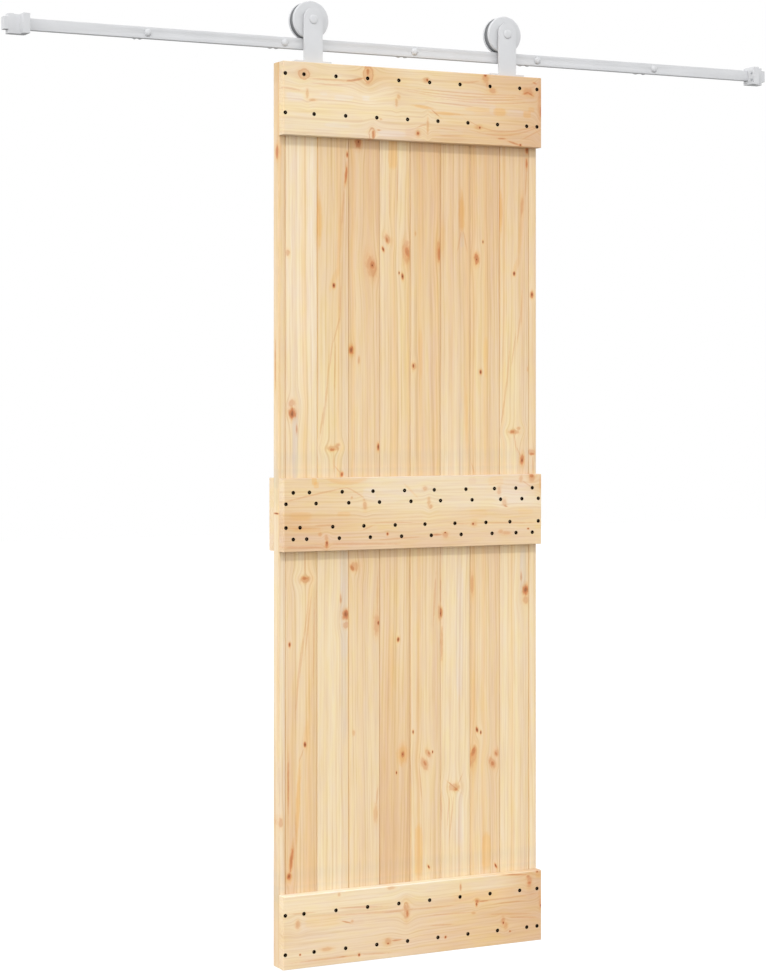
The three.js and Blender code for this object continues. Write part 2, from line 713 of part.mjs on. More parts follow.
// Everything on one axle, about the point where the axle crosses the rail's middle plane.
function roller({ name, x }) {
  const group = new THREE.Group();
  group.position.set(x, RAIL_MIDDLE_Y, AXLE_Z);
  const strapFront = STRAP_FRONT_Y - RAIL_MIDDLE_Y;
  const plate = hanger(name);
  plate.position.set(0, strapFront, -AXLE_ABOVE_FOOT);
  const bolt = axleBolt(name);
  bolt.position.y = strapFront - SEAT_GAP;
  const bush = axleBush(name);
  bush.position.y = WHEEL_FRONT_Y - RAIL_MIDDLE_Y - SEAT_GAP;
  const nut = axleNut(name);
  nut.position.y = WHEEL_WIDTH / 2 + 2 * SEAT_GAP + AXLE_NUT_THICKNESS;
  group.add(plate, bolt, bush, nut, wheel(name), bearing(name));
  return group;
}

const slidingDoor = new THREE.Group();
slidingDoor.name = "sliding_door";
slidingDoor.add(track(), door(), ...HANGER_SIDES.map(roller));

export default slidingDoor;
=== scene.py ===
"""Looks of a pine sliding door with its wall rail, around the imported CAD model.

Lengths on the door and rail are in millimetres until MM makes them metres. The camera, light
and floor are in metres. Wood is coloured in each piece's own frame: u across the grain on the wide
face, w into the thickness and v along the grain.
"""

import json
import math

import bmesh
import bpy
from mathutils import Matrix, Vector

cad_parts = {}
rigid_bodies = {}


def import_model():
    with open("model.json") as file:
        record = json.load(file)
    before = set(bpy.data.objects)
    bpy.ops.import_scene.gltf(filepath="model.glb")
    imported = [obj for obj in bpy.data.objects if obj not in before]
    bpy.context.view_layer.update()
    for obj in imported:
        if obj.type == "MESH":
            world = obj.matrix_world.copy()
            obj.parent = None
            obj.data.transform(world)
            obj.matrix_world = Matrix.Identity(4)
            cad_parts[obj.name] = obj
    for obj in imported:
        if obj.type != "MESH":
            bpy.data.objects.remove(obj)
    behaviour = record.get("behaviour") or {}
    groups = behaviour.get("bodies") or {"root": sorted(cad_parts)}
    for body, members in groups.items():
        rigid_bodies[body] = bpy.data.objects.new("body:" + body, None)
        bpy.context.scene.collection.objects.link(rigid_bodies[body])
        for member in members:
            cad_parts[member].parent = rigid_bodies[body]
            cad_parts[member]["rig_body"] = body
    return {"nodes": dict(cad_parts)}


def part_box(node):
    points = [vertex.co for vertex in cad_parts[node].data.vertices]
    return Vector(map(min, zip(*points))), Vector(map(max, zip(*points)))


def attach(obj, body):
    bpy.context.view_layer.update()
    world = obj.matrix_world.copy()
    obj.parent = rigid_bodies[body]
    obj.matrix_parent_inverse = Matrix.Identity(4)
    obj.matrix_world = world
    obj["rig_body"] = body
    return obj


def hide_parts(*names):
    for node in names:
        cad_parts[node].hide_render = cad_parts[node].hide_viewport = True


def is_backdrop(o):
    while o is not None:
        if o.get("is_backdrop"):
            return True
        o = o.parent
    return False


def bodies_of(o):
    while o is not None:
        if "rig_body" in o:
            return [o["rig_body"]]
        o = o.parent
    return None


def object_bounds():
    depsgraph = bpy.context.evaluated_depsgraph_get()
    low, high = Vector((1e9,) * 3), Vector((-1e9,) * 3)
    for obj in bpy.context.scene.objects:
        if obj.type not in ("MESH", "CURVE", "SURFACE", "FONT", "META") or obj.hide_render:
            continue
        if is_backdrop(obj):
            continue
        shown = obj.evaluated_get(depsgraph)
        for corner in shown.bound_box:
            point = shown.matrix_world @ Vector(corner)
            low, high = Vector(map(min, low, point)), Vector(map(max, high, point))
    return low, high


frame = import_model()
cad_low, cad_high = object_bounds()
nodes = frame["nodes"]

MM = 0.001


def linear(red, green, blue):
    """An sRGB colour, written 0 to 255, as linear RGBA."""
    def one(value):
        share = value / 255
        return share / 12.92 if share <= 0.04045 else ((share + 0.055) / 1.055) ** 2.4

    return (one(red), one(green), one(blue), 1.0)


def darker(colour, share):
    return tuple(value * share for value in colour[:3]) + (1.0,)


# ---------- node trees
class Tree:
    """Short names for building a node tree. A value is a socket, or a number or tuple."""

    def __init__(self, tree):
        self.tree = tree

    def node(self, kind, **settings):
        made = self.tree.nodes.new("ShaderNode" + kind)
        for name, value in settings.items():
            setattr(made, name, value)
        return made

    def put(self, socket, value):
        if isinstance(value, bpy.types.NodeSocket):
            self.tree.links.new(value, socket)
        elif value is not None:
            socket.default_value = value

    def filled(self, made, values):
        """The node, with values put into its first sockets or into the sockets of those names."""
        if isinstance(values, dict):
            for name, value in values.items():
                self.put(made.inputs[name], value)
        else:
            for socket, value in zip(made.inputs, values):
                self.put(socket, value)
        return made

    def shader(self, kind, values):
        return self.filled(self.node(kind), values).outputs[0]

    def math(self, operation, a, b=None, c=None):
        return self.filled(self.node("Math", operation=operation), (a, b, c)).outputs[0]

    def add(self, a, b):
        return self.math("ADD", a, b)

    def less(self, a, b):
        return self.math("SUBTRACT", a, b)

    def times(self, a, b):
        return self.math("MULTIPLY", a, b)

    def vector(self, operation, a, b=None, c=None):
        made = self.filled(self.node("VectorMath", operation=operation), (a, b, c))
        return made.outputs["Value" if operation in ("LENGTH", "DOT_PRODUCT") else "Vector"]

    def split(self, value):
        return self.filled(self.node("SeparateXYZ"), (value,)).outputs

    def join(self, x, y, z):
        return self.filled(self.node("CombineXYZ"), (x, y, z)).outputs[0]

    def coordinates(self, output="Object"):
        return self.node("TexCoord").outputs[output]

    def noise(self, place, scale=1.0, detail=2.0, roughness=0.5, output="Fac"):
        made = self.node("TexNoise", noise_dimensions="3D")
        return self.filled(made, {"Vector": place, "Scale": scale, "Detail": detail,
                                  "Roughness": roughness}).outputs[output]

    def smooth(self, value, start, end, low=0.0, high=1.0):
        """low before start and high after end, with a soft step between."""
        made = self.node("MapRange", interpolation_type="SMOOTHSTEP")
        return self.filled(made, (value, start, end, low, high)).outputs[0]

    def ramp(self, value, size, stops, colours):
        """The colours that stops, {place: name}, lay along a value that runs to a size."""
        made = self.filled(self.node("ValToRGB"), (value,))
        band = made.color_ramp
        while len(band.elements) < len(stops):
            band.elements.new(1.0)
        for element, (place, name) in zip(band.elements, sorted(stops.items())):
            element.position = place / size
            element.color = colours[name]
        return made.outputs[0]

    def mix(self, share, a, b, blend="MIX"):
        made = self.node("Mix", data_type="RGBA", blend_type=blend)
        self.put(made.inputs["Factor"], share)
        for socket, value in zip([s for s in made.inputs if s.type == "RGBA"], (a, b)):
            self.put(socket, value)
        return [s for s in made.outputs if s.type == "RGBA"][0]

    def tinted(self, share, colour, tint):
        return self.mix(share, colour, self.mix(1.0, colour, tint, "MULTIPLY"))

    def bump(self, shader, height, distance, strength):
        values = {"Strength": strength, "Distance": distance, "Height": height}
        self.put(shader.inputs["Normal"], self.filled(self.node("Bump"), values).outputs[0])


def tree_of(owner):
    """The emptied node tree of a material or world."""
    owner.use_nodes = True
    owner.node_tree.nodes.clear()
    return Tree(owner.node_tree)


def new_material(name):
    material = bpy.data.materials.new(name)
    t = tree_of(material)
    shader = t.node("BsdfPrincipled")
    t.put(t.node("OutputMaterial").inputs["Surface"], shader.outputs[0])
    return material, t, shader


# ---------- wood
TONES = {
    "cream": linear(243, 222, 186),
    "milk": linear(239, 219, 185),
    "pale": linear(238, 215, 175),
    "blush": linear(236, 211, 179),
    "honey": linear(235, 208, 166),
    "tan": linear(232, 201, 158),
    "clay": linear(227, 193, 150),
    "umber": linear(221, 185, 146),
}
TINTS = {
    "plain": (1.0, 1.0, 1.0),
    "light": (1.02, 1.05, 1.10),
    "rose": (0.965, 0.95, 0.985),
    "pink": (0.98, 0.94, 0.94),
    "amber": (1.01, 0.95, 0.86),
    "flame": (1.01, 0.90, 0.72),
    "tan": (0.95, 0.91, 0.87),
    "brown": (0.90, 0.80, 0.70),
    "chalk": (0.99, 1.03, 1.19),
    "straw": (1.0, 1.0, 0.88),
    "lilac": (0.985, 0.985, 1.07),
    "ash": (0.93, 0.97, 1.10),
    # dim darkens the boards as painted shade over the ledges.
    "dim": (0.89, 0.93, 1.01),
}
TINTS = {name: (*tint, 1.0) for name, tint in TINTS.items()}
AMBER_STAIN = (0.98, 0.76, 0.46, 1.0)
KNOT_RED = linear(200, 112, 64)
KNOT_DARK = linear(92, 38, 10)
GROWTH_LINE = (0.87, 0.77, 0.64, 1.0)

# How strong a mark's amber stain, red body, dark heart and ring are, and how far grain turns.
MARKS = {
    "knot": (0.75, 0.88, 0.60, 0.25, 0.85),
    "red": (0.65, 0.78, 0.15, 0.12, 0.60),
    "soft": (0.35, 0.40, 0.0, 0.08, 0.45),
    "pin": (0.60, 0.98, 0.98, 0.0, 0.60),
    "faint": (0.35, 0.28, 0.0, 0.08, 0.45),
    "streak": (0.40, 0.55, 0.12, 0.0, 0.15),
    "line": (0.16, 0.26, 0.0, 0.0, 0.0),
    "lens": (0.75, 0.0, 0.0, 0.0, 0.10),
    "wisp": (0.36, 0.0, 0.0, 0.0, 0.10),
    "ring": (0.20, 0.06, 0.0, 0.50, 0.50),
}
# A mark's lean, bend, middle into the wood and half depth, where it doesn't say them.
UPRIGHT = (0.0, 0.0, 0.0, 60.0)
PATCH_DEPTH = 200.0
CRISP = ("ring", "pin")
RAGGED_EDGE = 0.55  # of a crisp mark, as a share of the others'
TRACE = (1e-6, 1e-6, 1e-6)
TAPER = 0.008  # of a tree's radius along it
WANDER = 16.0  # of its pith


def new_group(name, inputs, outputs):
    """A node group. Its sockets are written Name:v for a vector, Name:f or Name:c for a colour."""
    tree = bpy.data.node_groups.new(name, "ShaderNodeTree")
    kinds = {"v": "NodeSocketVector", "f": "NodeSocketFloat", "c": "NodeSocketColor"}
    for side, sockets in (("INPUT", inputs), ("OUTPUT", outputs)):
        for one in sockets.split():
            socket, kind = one.split(":")
            tree.interface.new_socket(socket, in_out=side, socket_type=kinds[kind])
    t = Tree(tree)
    return t, tree.nodes.new("NodeGroupInput").outputs, tree.nodes.new("NodeGroupOutput").inputs


def knot_group():
    """Turns the grain aside round a knot, and marks its amber stain, red body and dark parts."""
    t, given, result = new_group(
        "knot",
        "Place:v Shift:f Marks:v Ragged:f Centre:v Size:v Lean:f Bend:f Strength:v Ring:f Turn:f",
        "Shift:f Marks:v")
    # A trace of the marks before this one keeps the marks in turn, so few values are held at once.
    place = t.vector("MULTIPLY_ADD", given["Marks"], TRACE, given["Place"])
    x, y, z = t.split(t.vector("SUBTRACT", place, given["Centre"]))
    leaned = t.less(x, t.times(t.math("MULTIPLY_ADD", given["Bend"], z, given["Lean"]), z))
    scaled = t.vector("DIVIDE", t.join(leaned, y, z), given["Size"])
    reach = t.vector("MULTIPLY", scaled, (0.42, 0.0, 0.34))
    fade = t.math("POWER", 2.718, t.times(t.vector("DOT_PRODUCT", reach, reach), -1.0))
    aside = t.times(t.times(leaned, fade), given["Turn"])
    t.put(result["Shift"], t.less(given["Shift"], aside))
    radius = t.add(t.vector("LENGTH", scaled), given["Ragged"])
    stain = t.smooth(radius, 0.6, 2.2, 1.0, 0.0)
    body = t.smooth(radius, 0.65, 1.2, 1.0, 0.0)
    heart = t.smooth(radius, 0.12, 0.68, 1.0, 0.0)
    off = t.math("ABSOLUTE", t.less(radius, 1.0))
    ring = t.times(t.smooth(off, 0.04, 0.24, 1.0, 0.0), given["Ring"])
    strong = t.split(t.vector("MULTIPLY", t.join(stain, body, heart), given["Strength"]))
    marks = t.join(strong[0], t.math("MAXIMUM", strong[1], ring), strong[2])
    t.put(result["Marks"], t.vector("MAXIMUM", given["Marks"], marks))
    return t.tree


def patch_group():
    """Tints a soft-edged block of the wood."""
    t, given, result = new_group(
        "patch", "Colour:c Place:v Ragged:f Centre:v Size:v Tint:c Strength:f", "Colour:c")
    place = t.vector("MULTIPLY_ADD", given["Colour"], TRACE, given["Place"])
    away = t.vector("SUBTRACT", place, given["Centre"])
    scaled = t.vector("DIVIDE", away, given["Size"])
    squared = t.vector("MULTIPLY", scaled, scaled)
    radius = t.math("MULTIPLY_ADD", given["Ragged"], 0.5, t.vector("LENGTH", squared))
    share = t.times(t.smooth(radius, 0.5, 1.2, 1.0, 0.0), given["Strength"])
    t.put(result["Colour"], t.tinted(share, given["Colour"], given["Tint"]))
    return t.tree


KNOT = knot_group()
PATCH = patch_group()


def pine(name, place_of, width, length, seed, bands, marks, pith, across=None, lower=None,
         patches=None, seams=(), spacing=8.5, sway=4.0, figure=0.8):
    """A pine material.

    place_of(tree) gives the place in the piece. bands says {u: {v: tone}}, and across {u: tint},
    with lower for a piece's lower half. marks are {kind: [(u, v, half width, half length, then
    maybe lean, bend, w, half depth)]}, and patches {tint: [(u, v, half width, half length,
    strength)]}. pith is (u, w) of the heart of the tree, seams the u of its joints, spacing the
    rings' width, sway how far the grain wanders, and figure how strong the rings show.
    """
    material, t, shader = new_material(name)
    place = place_of(t)
    u, w, v = t.split(place)

    def drawn_out(at_u, per_u, at_w, per_v, start=0.0, detail=1.0, roughness=0.5):
        """Noise drawn out along the grain."""
        along = t.math("MULTIPLY_ADD", v, per_v, start)
        return t.noise(t.join(t.times(at_u, per_u), at_w, along), 1.0, detail, roughness)

    def swing(noise, size):
        return t.times(t.less(noise, 0.5), size)

    shift = t.add(swing(drawn_out(u, 1 / 90, seed, 1 / 520), 2 * sway),
                  swing(drawn_out(u, 1 / 30, seed, 1 / 110), 0.45 * sway))
    coarse = t.noise(t.vector("MULTIPLY", place, (0.16, 0.16, 0.07)), detail=1.0)
    fine = t.noise(t.vector("MULTIPLY", place, (0.55, 0.55, 0.2)))
    ragged = t.add(swing(coarse, 0.9), swing(fine, 0.6))
    crisp = t.times(ragged, RAGGED_EDGE)
    found = (0.0, 0.0, 0.0)
    for kind, places in marks.items():
        amber, red, dark, ring, turn = MARKS[kind]
        for mark_u, mark_v, half_width, half_length, *rest in places:
            lean, bend, mark_w, half_depth = (*rest, *UPRIGHT[len(rest):])
            knot = t.filled(t.node("Group", node_tree=KNOT), {
                "Place": place, "Shift": shift, "Marks": found,
                "Ragged": crisp if kind in CRISP else ragged,
                "Centre": (mark_u, mark_w, mark_v), "Size": (half_width, half_depth, half_length),
                "Lean": lean, "Bend": bend, "Strength": (amber, red, dark), "Ring": ring,
                "Turn": turn})
            shift, found = knot.outputs
    moved = t.add(u, shift)

    # Tone of the wood, which changes slowly along it, in streaks across it and in patches.
    colour, before = None, 0.0
    for band_u, along in bands.items():
        tone = t.ramp(t.times(v, 1 / length), length, along, TONES)
        colour = tone if colour is None else t.mix(t.smooth(moved, before, band_u), colour, tone)
        before = band_u
    if across:
        streak_at = t.times(t.add(moved, t.times(w, 0.4)), 1 / width)
        upper_tint = t.ramp(streak_at, width, across, TINTS)
        lower_tint = t.ramp(streak_at, width, lower, TINTS)
        tint = t.mix(t.smooth(v, length * 0.46, length * 0.54), lower_tint, upper_tint)
        colour = t.mix(1.0, colour, tint, "MULTIPLY")
    for tint, places in (patches or {}).items():
        for patch_u, patch_v, half_width, half_length, strength in places:
            colour = t.filled(t.node("Group", node_tree=PATCH), {
                "Colour": colour, "Place": place, "Ragged": ragged,
                "Centre": (patch_u, 0.0, patch_v), "Size": (half_width, PATCH_DEPTH, half_length),
                "Tint": TINTS[tint], "Strength": strength}).outputs[0]
    broad = drawn_out(moved, 1 / 9, t.times(w, 1 / 9), 1 / 300, seed, detail=2.0)
    colour = t.tinted(t.smooth(broad, 0.50, 0.70, 0.0, 0.35), colour, TINTS["pink"])
    colour = t.tinted(t.smooth(broad, 0.34, 0.50, 0.35, 0.0), colour, TINTS["light"])
    block = drawn_out(moved, 1 / 13, t.times(w, 1 / 40), 1 / 70, seed)
    colour = t.tinted(t.smooth(block, 0.50, 0.66, 0.0, 0.55), colour, TINTS["straw"])
    colour = t.tinted(t.smooth(block, 0.34, 0.50, 0.6, 0.0), colour, TINTS["lilac"])

    # Growth rings about the pith, which wanders and tapers.
    drift = t.noise(t.join(seed, 0.0, t.times(v, 1 / 640)), detail=1.0, output="Color")
    drift_u, drift_w, _ = t.split(t.vector("SUBTRACT", drift, (0.5, 0.5, 0.5)))
    ring_u = t.less(moved, t.math("MULTIPLY_ADD", drift_u, WANDER, pith[0]))
    ring_w = t.less(w, t.math("MULTIPLY_ADD", drift_w, WANDER, pith[1]))
    radius = t.math("SQRT", t.add(t.times(ring_u, ring_u), t.times(ring_w, ring_w)))
    radius = t.math("MULTIPLY_ADD", v, TAPER, radius)
    uneven = t.noise(t.join(t.times(radius, 1 / 16), seed, 0.0))
    turns = t.add(t.times(radius, 1 / spacing), t.times(uneven, 2.6))
    ring = t.math("FRACT", turns)
    late = t.times(t.smooth(ring, 0.45, 0.88), t.smooth(ring, 0.9, 1.0, 1.0, 0.0))
    year = t.noise(t.join(t.math("FLOOR", turns), seed, t.times(v, 1 / 500)), detail=0.0)
    late = t.times(late, t.smooth(year, 0.32, 0.66, 0.2, 1.0))
    colour = t.tinted(t.times(late, 0.8 * figure), colour, GROWTH_LINE)

    # Fibres, coarse and fine.
    fibre = drawn_out(moved, 0.9, t.times(w, 0.9), 0.016, detail=3.0, roughness=0.7)
    colour = t.tinted(t.smooth(fibre, 0.38, 0.72, 0.0, 0.55), colour, TINTS["tan"])
    vein = drawn_out(moved, 0.22, t.times(w, 0.22), 0.006, detail=2.0)
    colour = t.tinted(t.smooth(vein, 0.50, 0.64, 0.0, 0.7), colour, TINTS["tan"])
    colour = t.tinted(t.smooth(vein, 0.36, 0.46, 0.6, 0.0), colour, TINTS["light"])

    # Knots over all of it, and the shade in the joints.
    stain, body, dark = t.split(found)
    colour = t.tinted(stain, colour, AMBER_STAIN)
    colour = t.mix(t.times(body, t.smooth(fine, 0.3, 0.7, 0.75, 1.0)), colour, KNOT_RED)
    colour = t.mix(t.times(dark, t.smooth(fine, 0.25, 0.6, 0.65, 1.0)), colour, KNOT_DARK)
    for seam in seams:
        near = t.math("ABSOLUTE", t.less(u, seam))
        colour = t.tinted(t.smooth(near, 0.5, 1.9, 0.75, 0.0), colour, TINTS["brown"])
    rough = t.add(t.times(late, -0.08), t.math("MULTIPLY_ADD", fibre, 0.14, 0.5))
    t.filled(shader, {"Base Color": colour, "Roughness": rough, "Specular IOR Level": 0.3})
    height = t.add(t.times(late, 0.5), t.add(t.times(fibre, 0.35), t.times(dark, -0.6)))
    t.bump(shader, height, 0.25 * MM, 0.35)
    return material


def in_board(low):
    """Place in a board that stands: u is X, w is Y and v is Z."""
    def place(t):
        return t.vector("MULTIPLY_ADD", t.coordinates(), (1 / MM, 1 / MM, 1 / MM), tuple(-low / MM))
    return place


def in_ledge(low):
    """Place in a board that lies: u is Z, w is Y and v is X."""
    def place(t):
        x, y, z = t.split(in_board(low)(t))
        return t.join(z, y, x)
    return place


def dress(name, place_in, width, length, seed, **look):
    piece = nodes[name]
    place_of = place_in(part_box(name)[0])
    piece.data.materials.clear()
    piece.data.materials.append(pine("pine_" + name, place_of, width, length, seed, **look))


DOOR_HEIGHT = 2100.0
DOOR_WIDTH = 690.0
BOARD_WIDTH = 81.5
LEDGE_HEIGHT = 170.0
LEFT_STRIP = 16.5
# Painted shade on the boards over the middle and bottom ledges: a dim tint that takes back the
# light the ledges' tops throw up onto them. It runs through the boards' whole thickness, so it also
# shows on their back.
SHADE_PAINTED_OVER_LEDGES = [(40, 1134, 300, 24, 0.5), (40, 1134, 300, 66, 0.45), (40, 169, 300, 20, 0.5),
                (40, 169, 300, 60, 0.45)]


def board(name, seed, seams=(0.0, BOARD_WIDTH), patches=None, **look):
    # Every board gets the painted shade over the middle and bottom ledges.
    patches = {**(patches or {}), "dim": SHADE_PAINTED_OVER_LEDGES}
    dress(name, in_board, BOARD_WIDTH, DOOR_HEIGHT, seed, seams=seams, patches=patches, **look)


def ledge(name, seed, **look):
    dress(name, in_ledge, LEDGE_HEIGHT, DOOR_WIDTH, seed, **look)


# The boards from left to right, and the ledges. The number after a name is its grain's seed.
board("edge_strip_left", 1.3, seams=(LEFT_STRIP,), pith=(-40, 50),
    bands={0: {0: "honey", 600: "milk", 1050: "pale", 1500: "honey", 2100: "tan"}},
    across={0: "amber", 5: "plain", 9: "light", 14: "pink"},
    lower={0: "tan", 4: "light", 8: "light", 12: "rose"},
    marks=dict(soft=[(5, 337, 5, 12)], red=[(0, 1893, 5, 16, 0, 0, 10, 8)],
        # The two pin marks at 1053 on the strip's left side are painted shade: a dark dash where
        # the side shows a slot.
        pin=[(0, 1053, 8, 2.2, 0, 0, 14, 14), (0, 1053, 8, 1.9, 0, 0, 14, 14)],
        streak=[(0, 1400, 3, 60, 0, 0, 20, 3)], wisp=[(0, 640, 2, 120, 0, 0, 8, 7)]),
    patches=dict(tan=[(0, 2085, 30, 32, 0.6), (0, 260, 3, 280, 0.9)],
        light=[(0, 1700, 3, 300, 0.4)]))
board("board_1", 5.0, pith=(-210, 66),
    bands={0: {0: "clay", 200: "tan", 560: "honey", 900: "pale", 1200: "pale", 1500: "cream",
        2100: "cream"}},
    across={0: "plain", 12: "light", 19: "rose", 27: "rose", 33: "light", 50: "amber", 58: "plain",
        70: "light", 81: "plain"},
    lower={0: "plain", 8: "pink", 18: "pink", 26: "tan", 32: "light", 48: "plain", 60: "amber",
        70: "tan", 81: "tan"},
    marks=dict(soft=[(17, 1309, 9, 9), (6, 1658, 5, 8), (51, 898, 15, 8)],
        knot=[(17.5, 1286, 9.5, 13), (9.5, 210, 5.5, 9)],
        streak=[(29, 1248, 2.4, 11), (7, 425, 2, 70)],
        red=[(50, 901, 8, 4), (15, 248, 4, 30, 0.12)],
        line=[(50, 936, 1.8, 28), (36, 700, 1.8, 80, 0.13, 0.0003), (46, 750, 1.8, 90, 0.13),
            (58, 790, 1.8, 70, 0.12), (73, 750, 2, 100, 0.02), (30, 630, 1.6, 50, 0.1),
            (41, 490, 1.8, 16, 0.4)], pin=[(10.5, 748, 3.2, 6), (50, 514, 4, 7)],
        wisp=[(53, 532, 5, 24, 0.1)], lens=[(32, 378, 3.6, 66, 0.05)]),
    patches=dict(ash=[(25, 1210, 8, 90, 1)], chalk=[(64, 1650, 12, 260, 0.4)],
        pink=[(8, 1250, 7, 160, 0.6)]))
board("board_2", 8.7, pith=(300, -48),
    bands={0: {0: "pale", 800: "pale", 1350: "pale", 1550: "honey", 2100: "tan"}},
    across={0: "amber", 4: "plain", 10: "plain", 18: "light", 30: "plain", 48: "plain", 55: "amber",
        62: "tan", 68: "rose", 81: "rose"},
    lower={0: "light", 20: "plain", 40: "light", 52: "plain", 58: "light", 64: "rose", 74: "rose",
        81: "plain"},
    marks=dict(pin=[(43, 1585, 4, 6.5)], wisp=[(46, 1604, 5, 20, 0.4), (61, 1715, 4, 60, 0.08)],
        knot=[(78, 1893, 3, 7), (64, 1142, 4, 6), (74, 812, 8.5, 12)],
        red=[(75, 1846, 3.2, 22, 0.1), (39, 1200, 7, 4)],
        line=[(67, 1770, 1.8, 50, 0.08), (43, 1170, 2, 22), (54, 1152, 1.8, 12, -0.9),
            (12, 1265, 2.4, 36, 0.16), (20, 1300, 2, 50, 0.1), (27, 1360, 1.8, 60, 0.06),
            (36, 1425, 1.8, 40, 0.12), (50, 1480, 2, 34, 0.28), (46, 1390, 1.8, 60, 0.03),
            (60, 1540, 1.6, 50, 0.04)], lens=[(4, 1735, 5, 40)],
        soft=[(41, 1203, 15, 6), (54, 1211, 5, 4), (75, 788, 9, 8)], streak=[(61, 849, 2.2, 11)]),
    patches=dict(ash=[(70, 830, 10, 150, 1), (69, 600, 8, 90, 0.6)],
        straw=[(30, 1350, 26, 200, 0.5)]))
board("board_3", 12.4, pith=(-260, -70),
    bands={0: {0: "honey", 500: "pale", 900: "honey", 1400: "honey", 1700: "tan", 2100: "clay"}},
    across={0: "plain", 6: "tan", 12: "amber", 22: "light", 38: "plain", 52: "pink", 66: "plain",
        74: "pink", 81: "rose"},
    lower={0: "amber", 8: "plain", 20: "plain", 34: "pink", 46: "rose", 60: "plain", 72: "rose",
        81: "plain"},
    marks=dict(red=[(25, 1922, 8, 13), (63, 1635, 7, 11, -0.1), (10, 921, 5, 7, -0.3)],
        pin=[(26, 1924, 3, 5), (62, 1634, 3, 4), (78, 1205, 3.6, 9), (78, 789, 3, 6)],
        soft=[(60, 1632, 14, 26, -0.15), (27, 1409, 3, 9), (15, 924, 12, 11), (74, 786, 8, 26)],
        knot=[(7, 1433, 6, 10)], line=[(76, 850, 2, 48), (75, 380, 2.4, 20, 0.1)],
        faint=[(13.5, 533, 3, 6), (71, 338, 5, 20)]))
board("board_4", 16.1, pith=(280, -60),
    bands={0: {0: "clay", 300: "clay", 540: "tan", 760: "honey", 1100: "honey", 1500: "honey",
        2100: "pale"}},
    across={0: "light", 14: "light", 26: "plain", 40: "amber", 47: "tan", 52: "light", 68: "plain",
        76: "amber", 81: "plain"},
    lower={0: "rose", 10: "plain", 20: "pink", 32: "plain", 40: "tan", 48: "plain", 56: "light",
        70: "plain", 81: "tan"},
    marks=dict(soft=[(21, 1698, 9, 12, -0.3), (72, 1667, 12, 28)],
        red=[(19, 1696, 4, 7, -0.2), (74, 1668, 7, 14, -0.2), (62, 474, 5, 8)],
        pin=[(9.5, 1673, 3.4, 6, -0.2), (61, 1610, 3.4, 9, -0.1), (52, 1618, 1.8, 4),
            (49.5, 747, 3.6, 6, 0.1), (62, 474, 2.6, 4), (45, 431, 2, 4)],
        line=[(26, 1800, 1.4, 60), (47, 1830, 1.4, 50)], lens=[(62, 474, 10, 17)],
        wisp=[(31, 700, 5, 60)]),
    patches=dict(straw=[(66, 1450, 12, 200, 0.7), (40, 700, 12, 200, 0.4)],
        flame=[(35, 1902, 13, 40, 1)]))
board("board_5", 19.8, pith=(-240, 80),
    bands={0: {0: "honey", 400: "honey", 900: "honey", 1500: "honey", 1780: "tan", 2100: "clay"}},
    across={0: "plain", 8: "light", 18: "tan", 26: "amber", 34: "pink", 46: "plain", 60: "pink",
        72: "amber", 81: "tan"},
    lower={0: "amber", 6: "light", 16: "plain", 24: "amber", 30: "plain", 44: "light", 58: "plain",
        70: "rose", 81: "plain"},
    marks=dict(soft=[(10, 1396, 6, 9), (77, 1670, 7, 26), (79, 806, 4, 18), (49, 471, 7, 10, -0.3),
            (39, 447, 10, 15, -0.35)],
        pin=[(8.7, 1397, 3.2, 6), (8, 525, 2.2, 5), (60.5, 474, 2, 4), (50, 200, 2.8, 5, -0.4)],
        faint=[(14.3, 1712, 2, 5)],
        red=[(78, 1666, 4, 18), (50.5, 472, 3, 5, -0.3), (40, 448, 4, 6, -0.35)],
        line=[(66, 840, 2.6, 60, 0.06), (28, 400, 1.6, 40, -0.1)]),
    patches=dict(pink=[(68, 640, 9, 160, 0.7)], lilac=[(60, 1560, 12, 260, 0.8)],
        straw=[(40, 1600, 40, 160, 0.3)], amber=[(28, 1425, 7, 60, 0.9)],
        flame=[(23, 240, 12, 66, 1)]))
board("board_6", 23.5, pith=(330, -44),
    bands={0: {0: "honey", 300: "pale", 800: "pale", 1100: "pale", 1400: "honey", 1700: "tan",
        2100: "tan"}},
    across={0: "plain", 8: "plain", 18: "light", 30: "pink", 40: "light", 52: "rose", 62: "plain",
        74: "amber", 81: "tan"},
    lower={0: "pink", 8: "plain", 18: "light", 30: "plain", 42: "light", 54: "rose", 62: "light",
        74: "plain", 81: "plain"},
    marks=dict(lens=[(58, 1763, 5.5, 34)], wisp=[(6, 1706, 5, 32), (70, 1285, 3.4, 60, -0.03)],
        line=[(52, 1700, 1.8, 26, 0.2), (68, 1700, 1.6, 26, -0.2), (1, 860, 2, 30),
            (54, 402, 1.8, 14, 0.5), (30, 310, 1.8, 50, 0.12), (22, 330, 1.6, 40, 0.1),
            (3, 350, 2, 40)], red=[(1, 806, 5, 12), (43, 380, 5, 4)], pin=[(0, 804, 2.4, 5)],
        soft=[(4, 735, 3, 42), (38, 385, 15, 9)], streak=[(36, 387, 3, 12, -1.2)]),
    patches=dict(chalk=[(52, 760, 11, 170, 0.8), (52, 310, 12, 70, 0.8)],
        ash=[(56, 1200, 6, 120, 0.5), (60, 1702, 6, 20, 0.7)]))
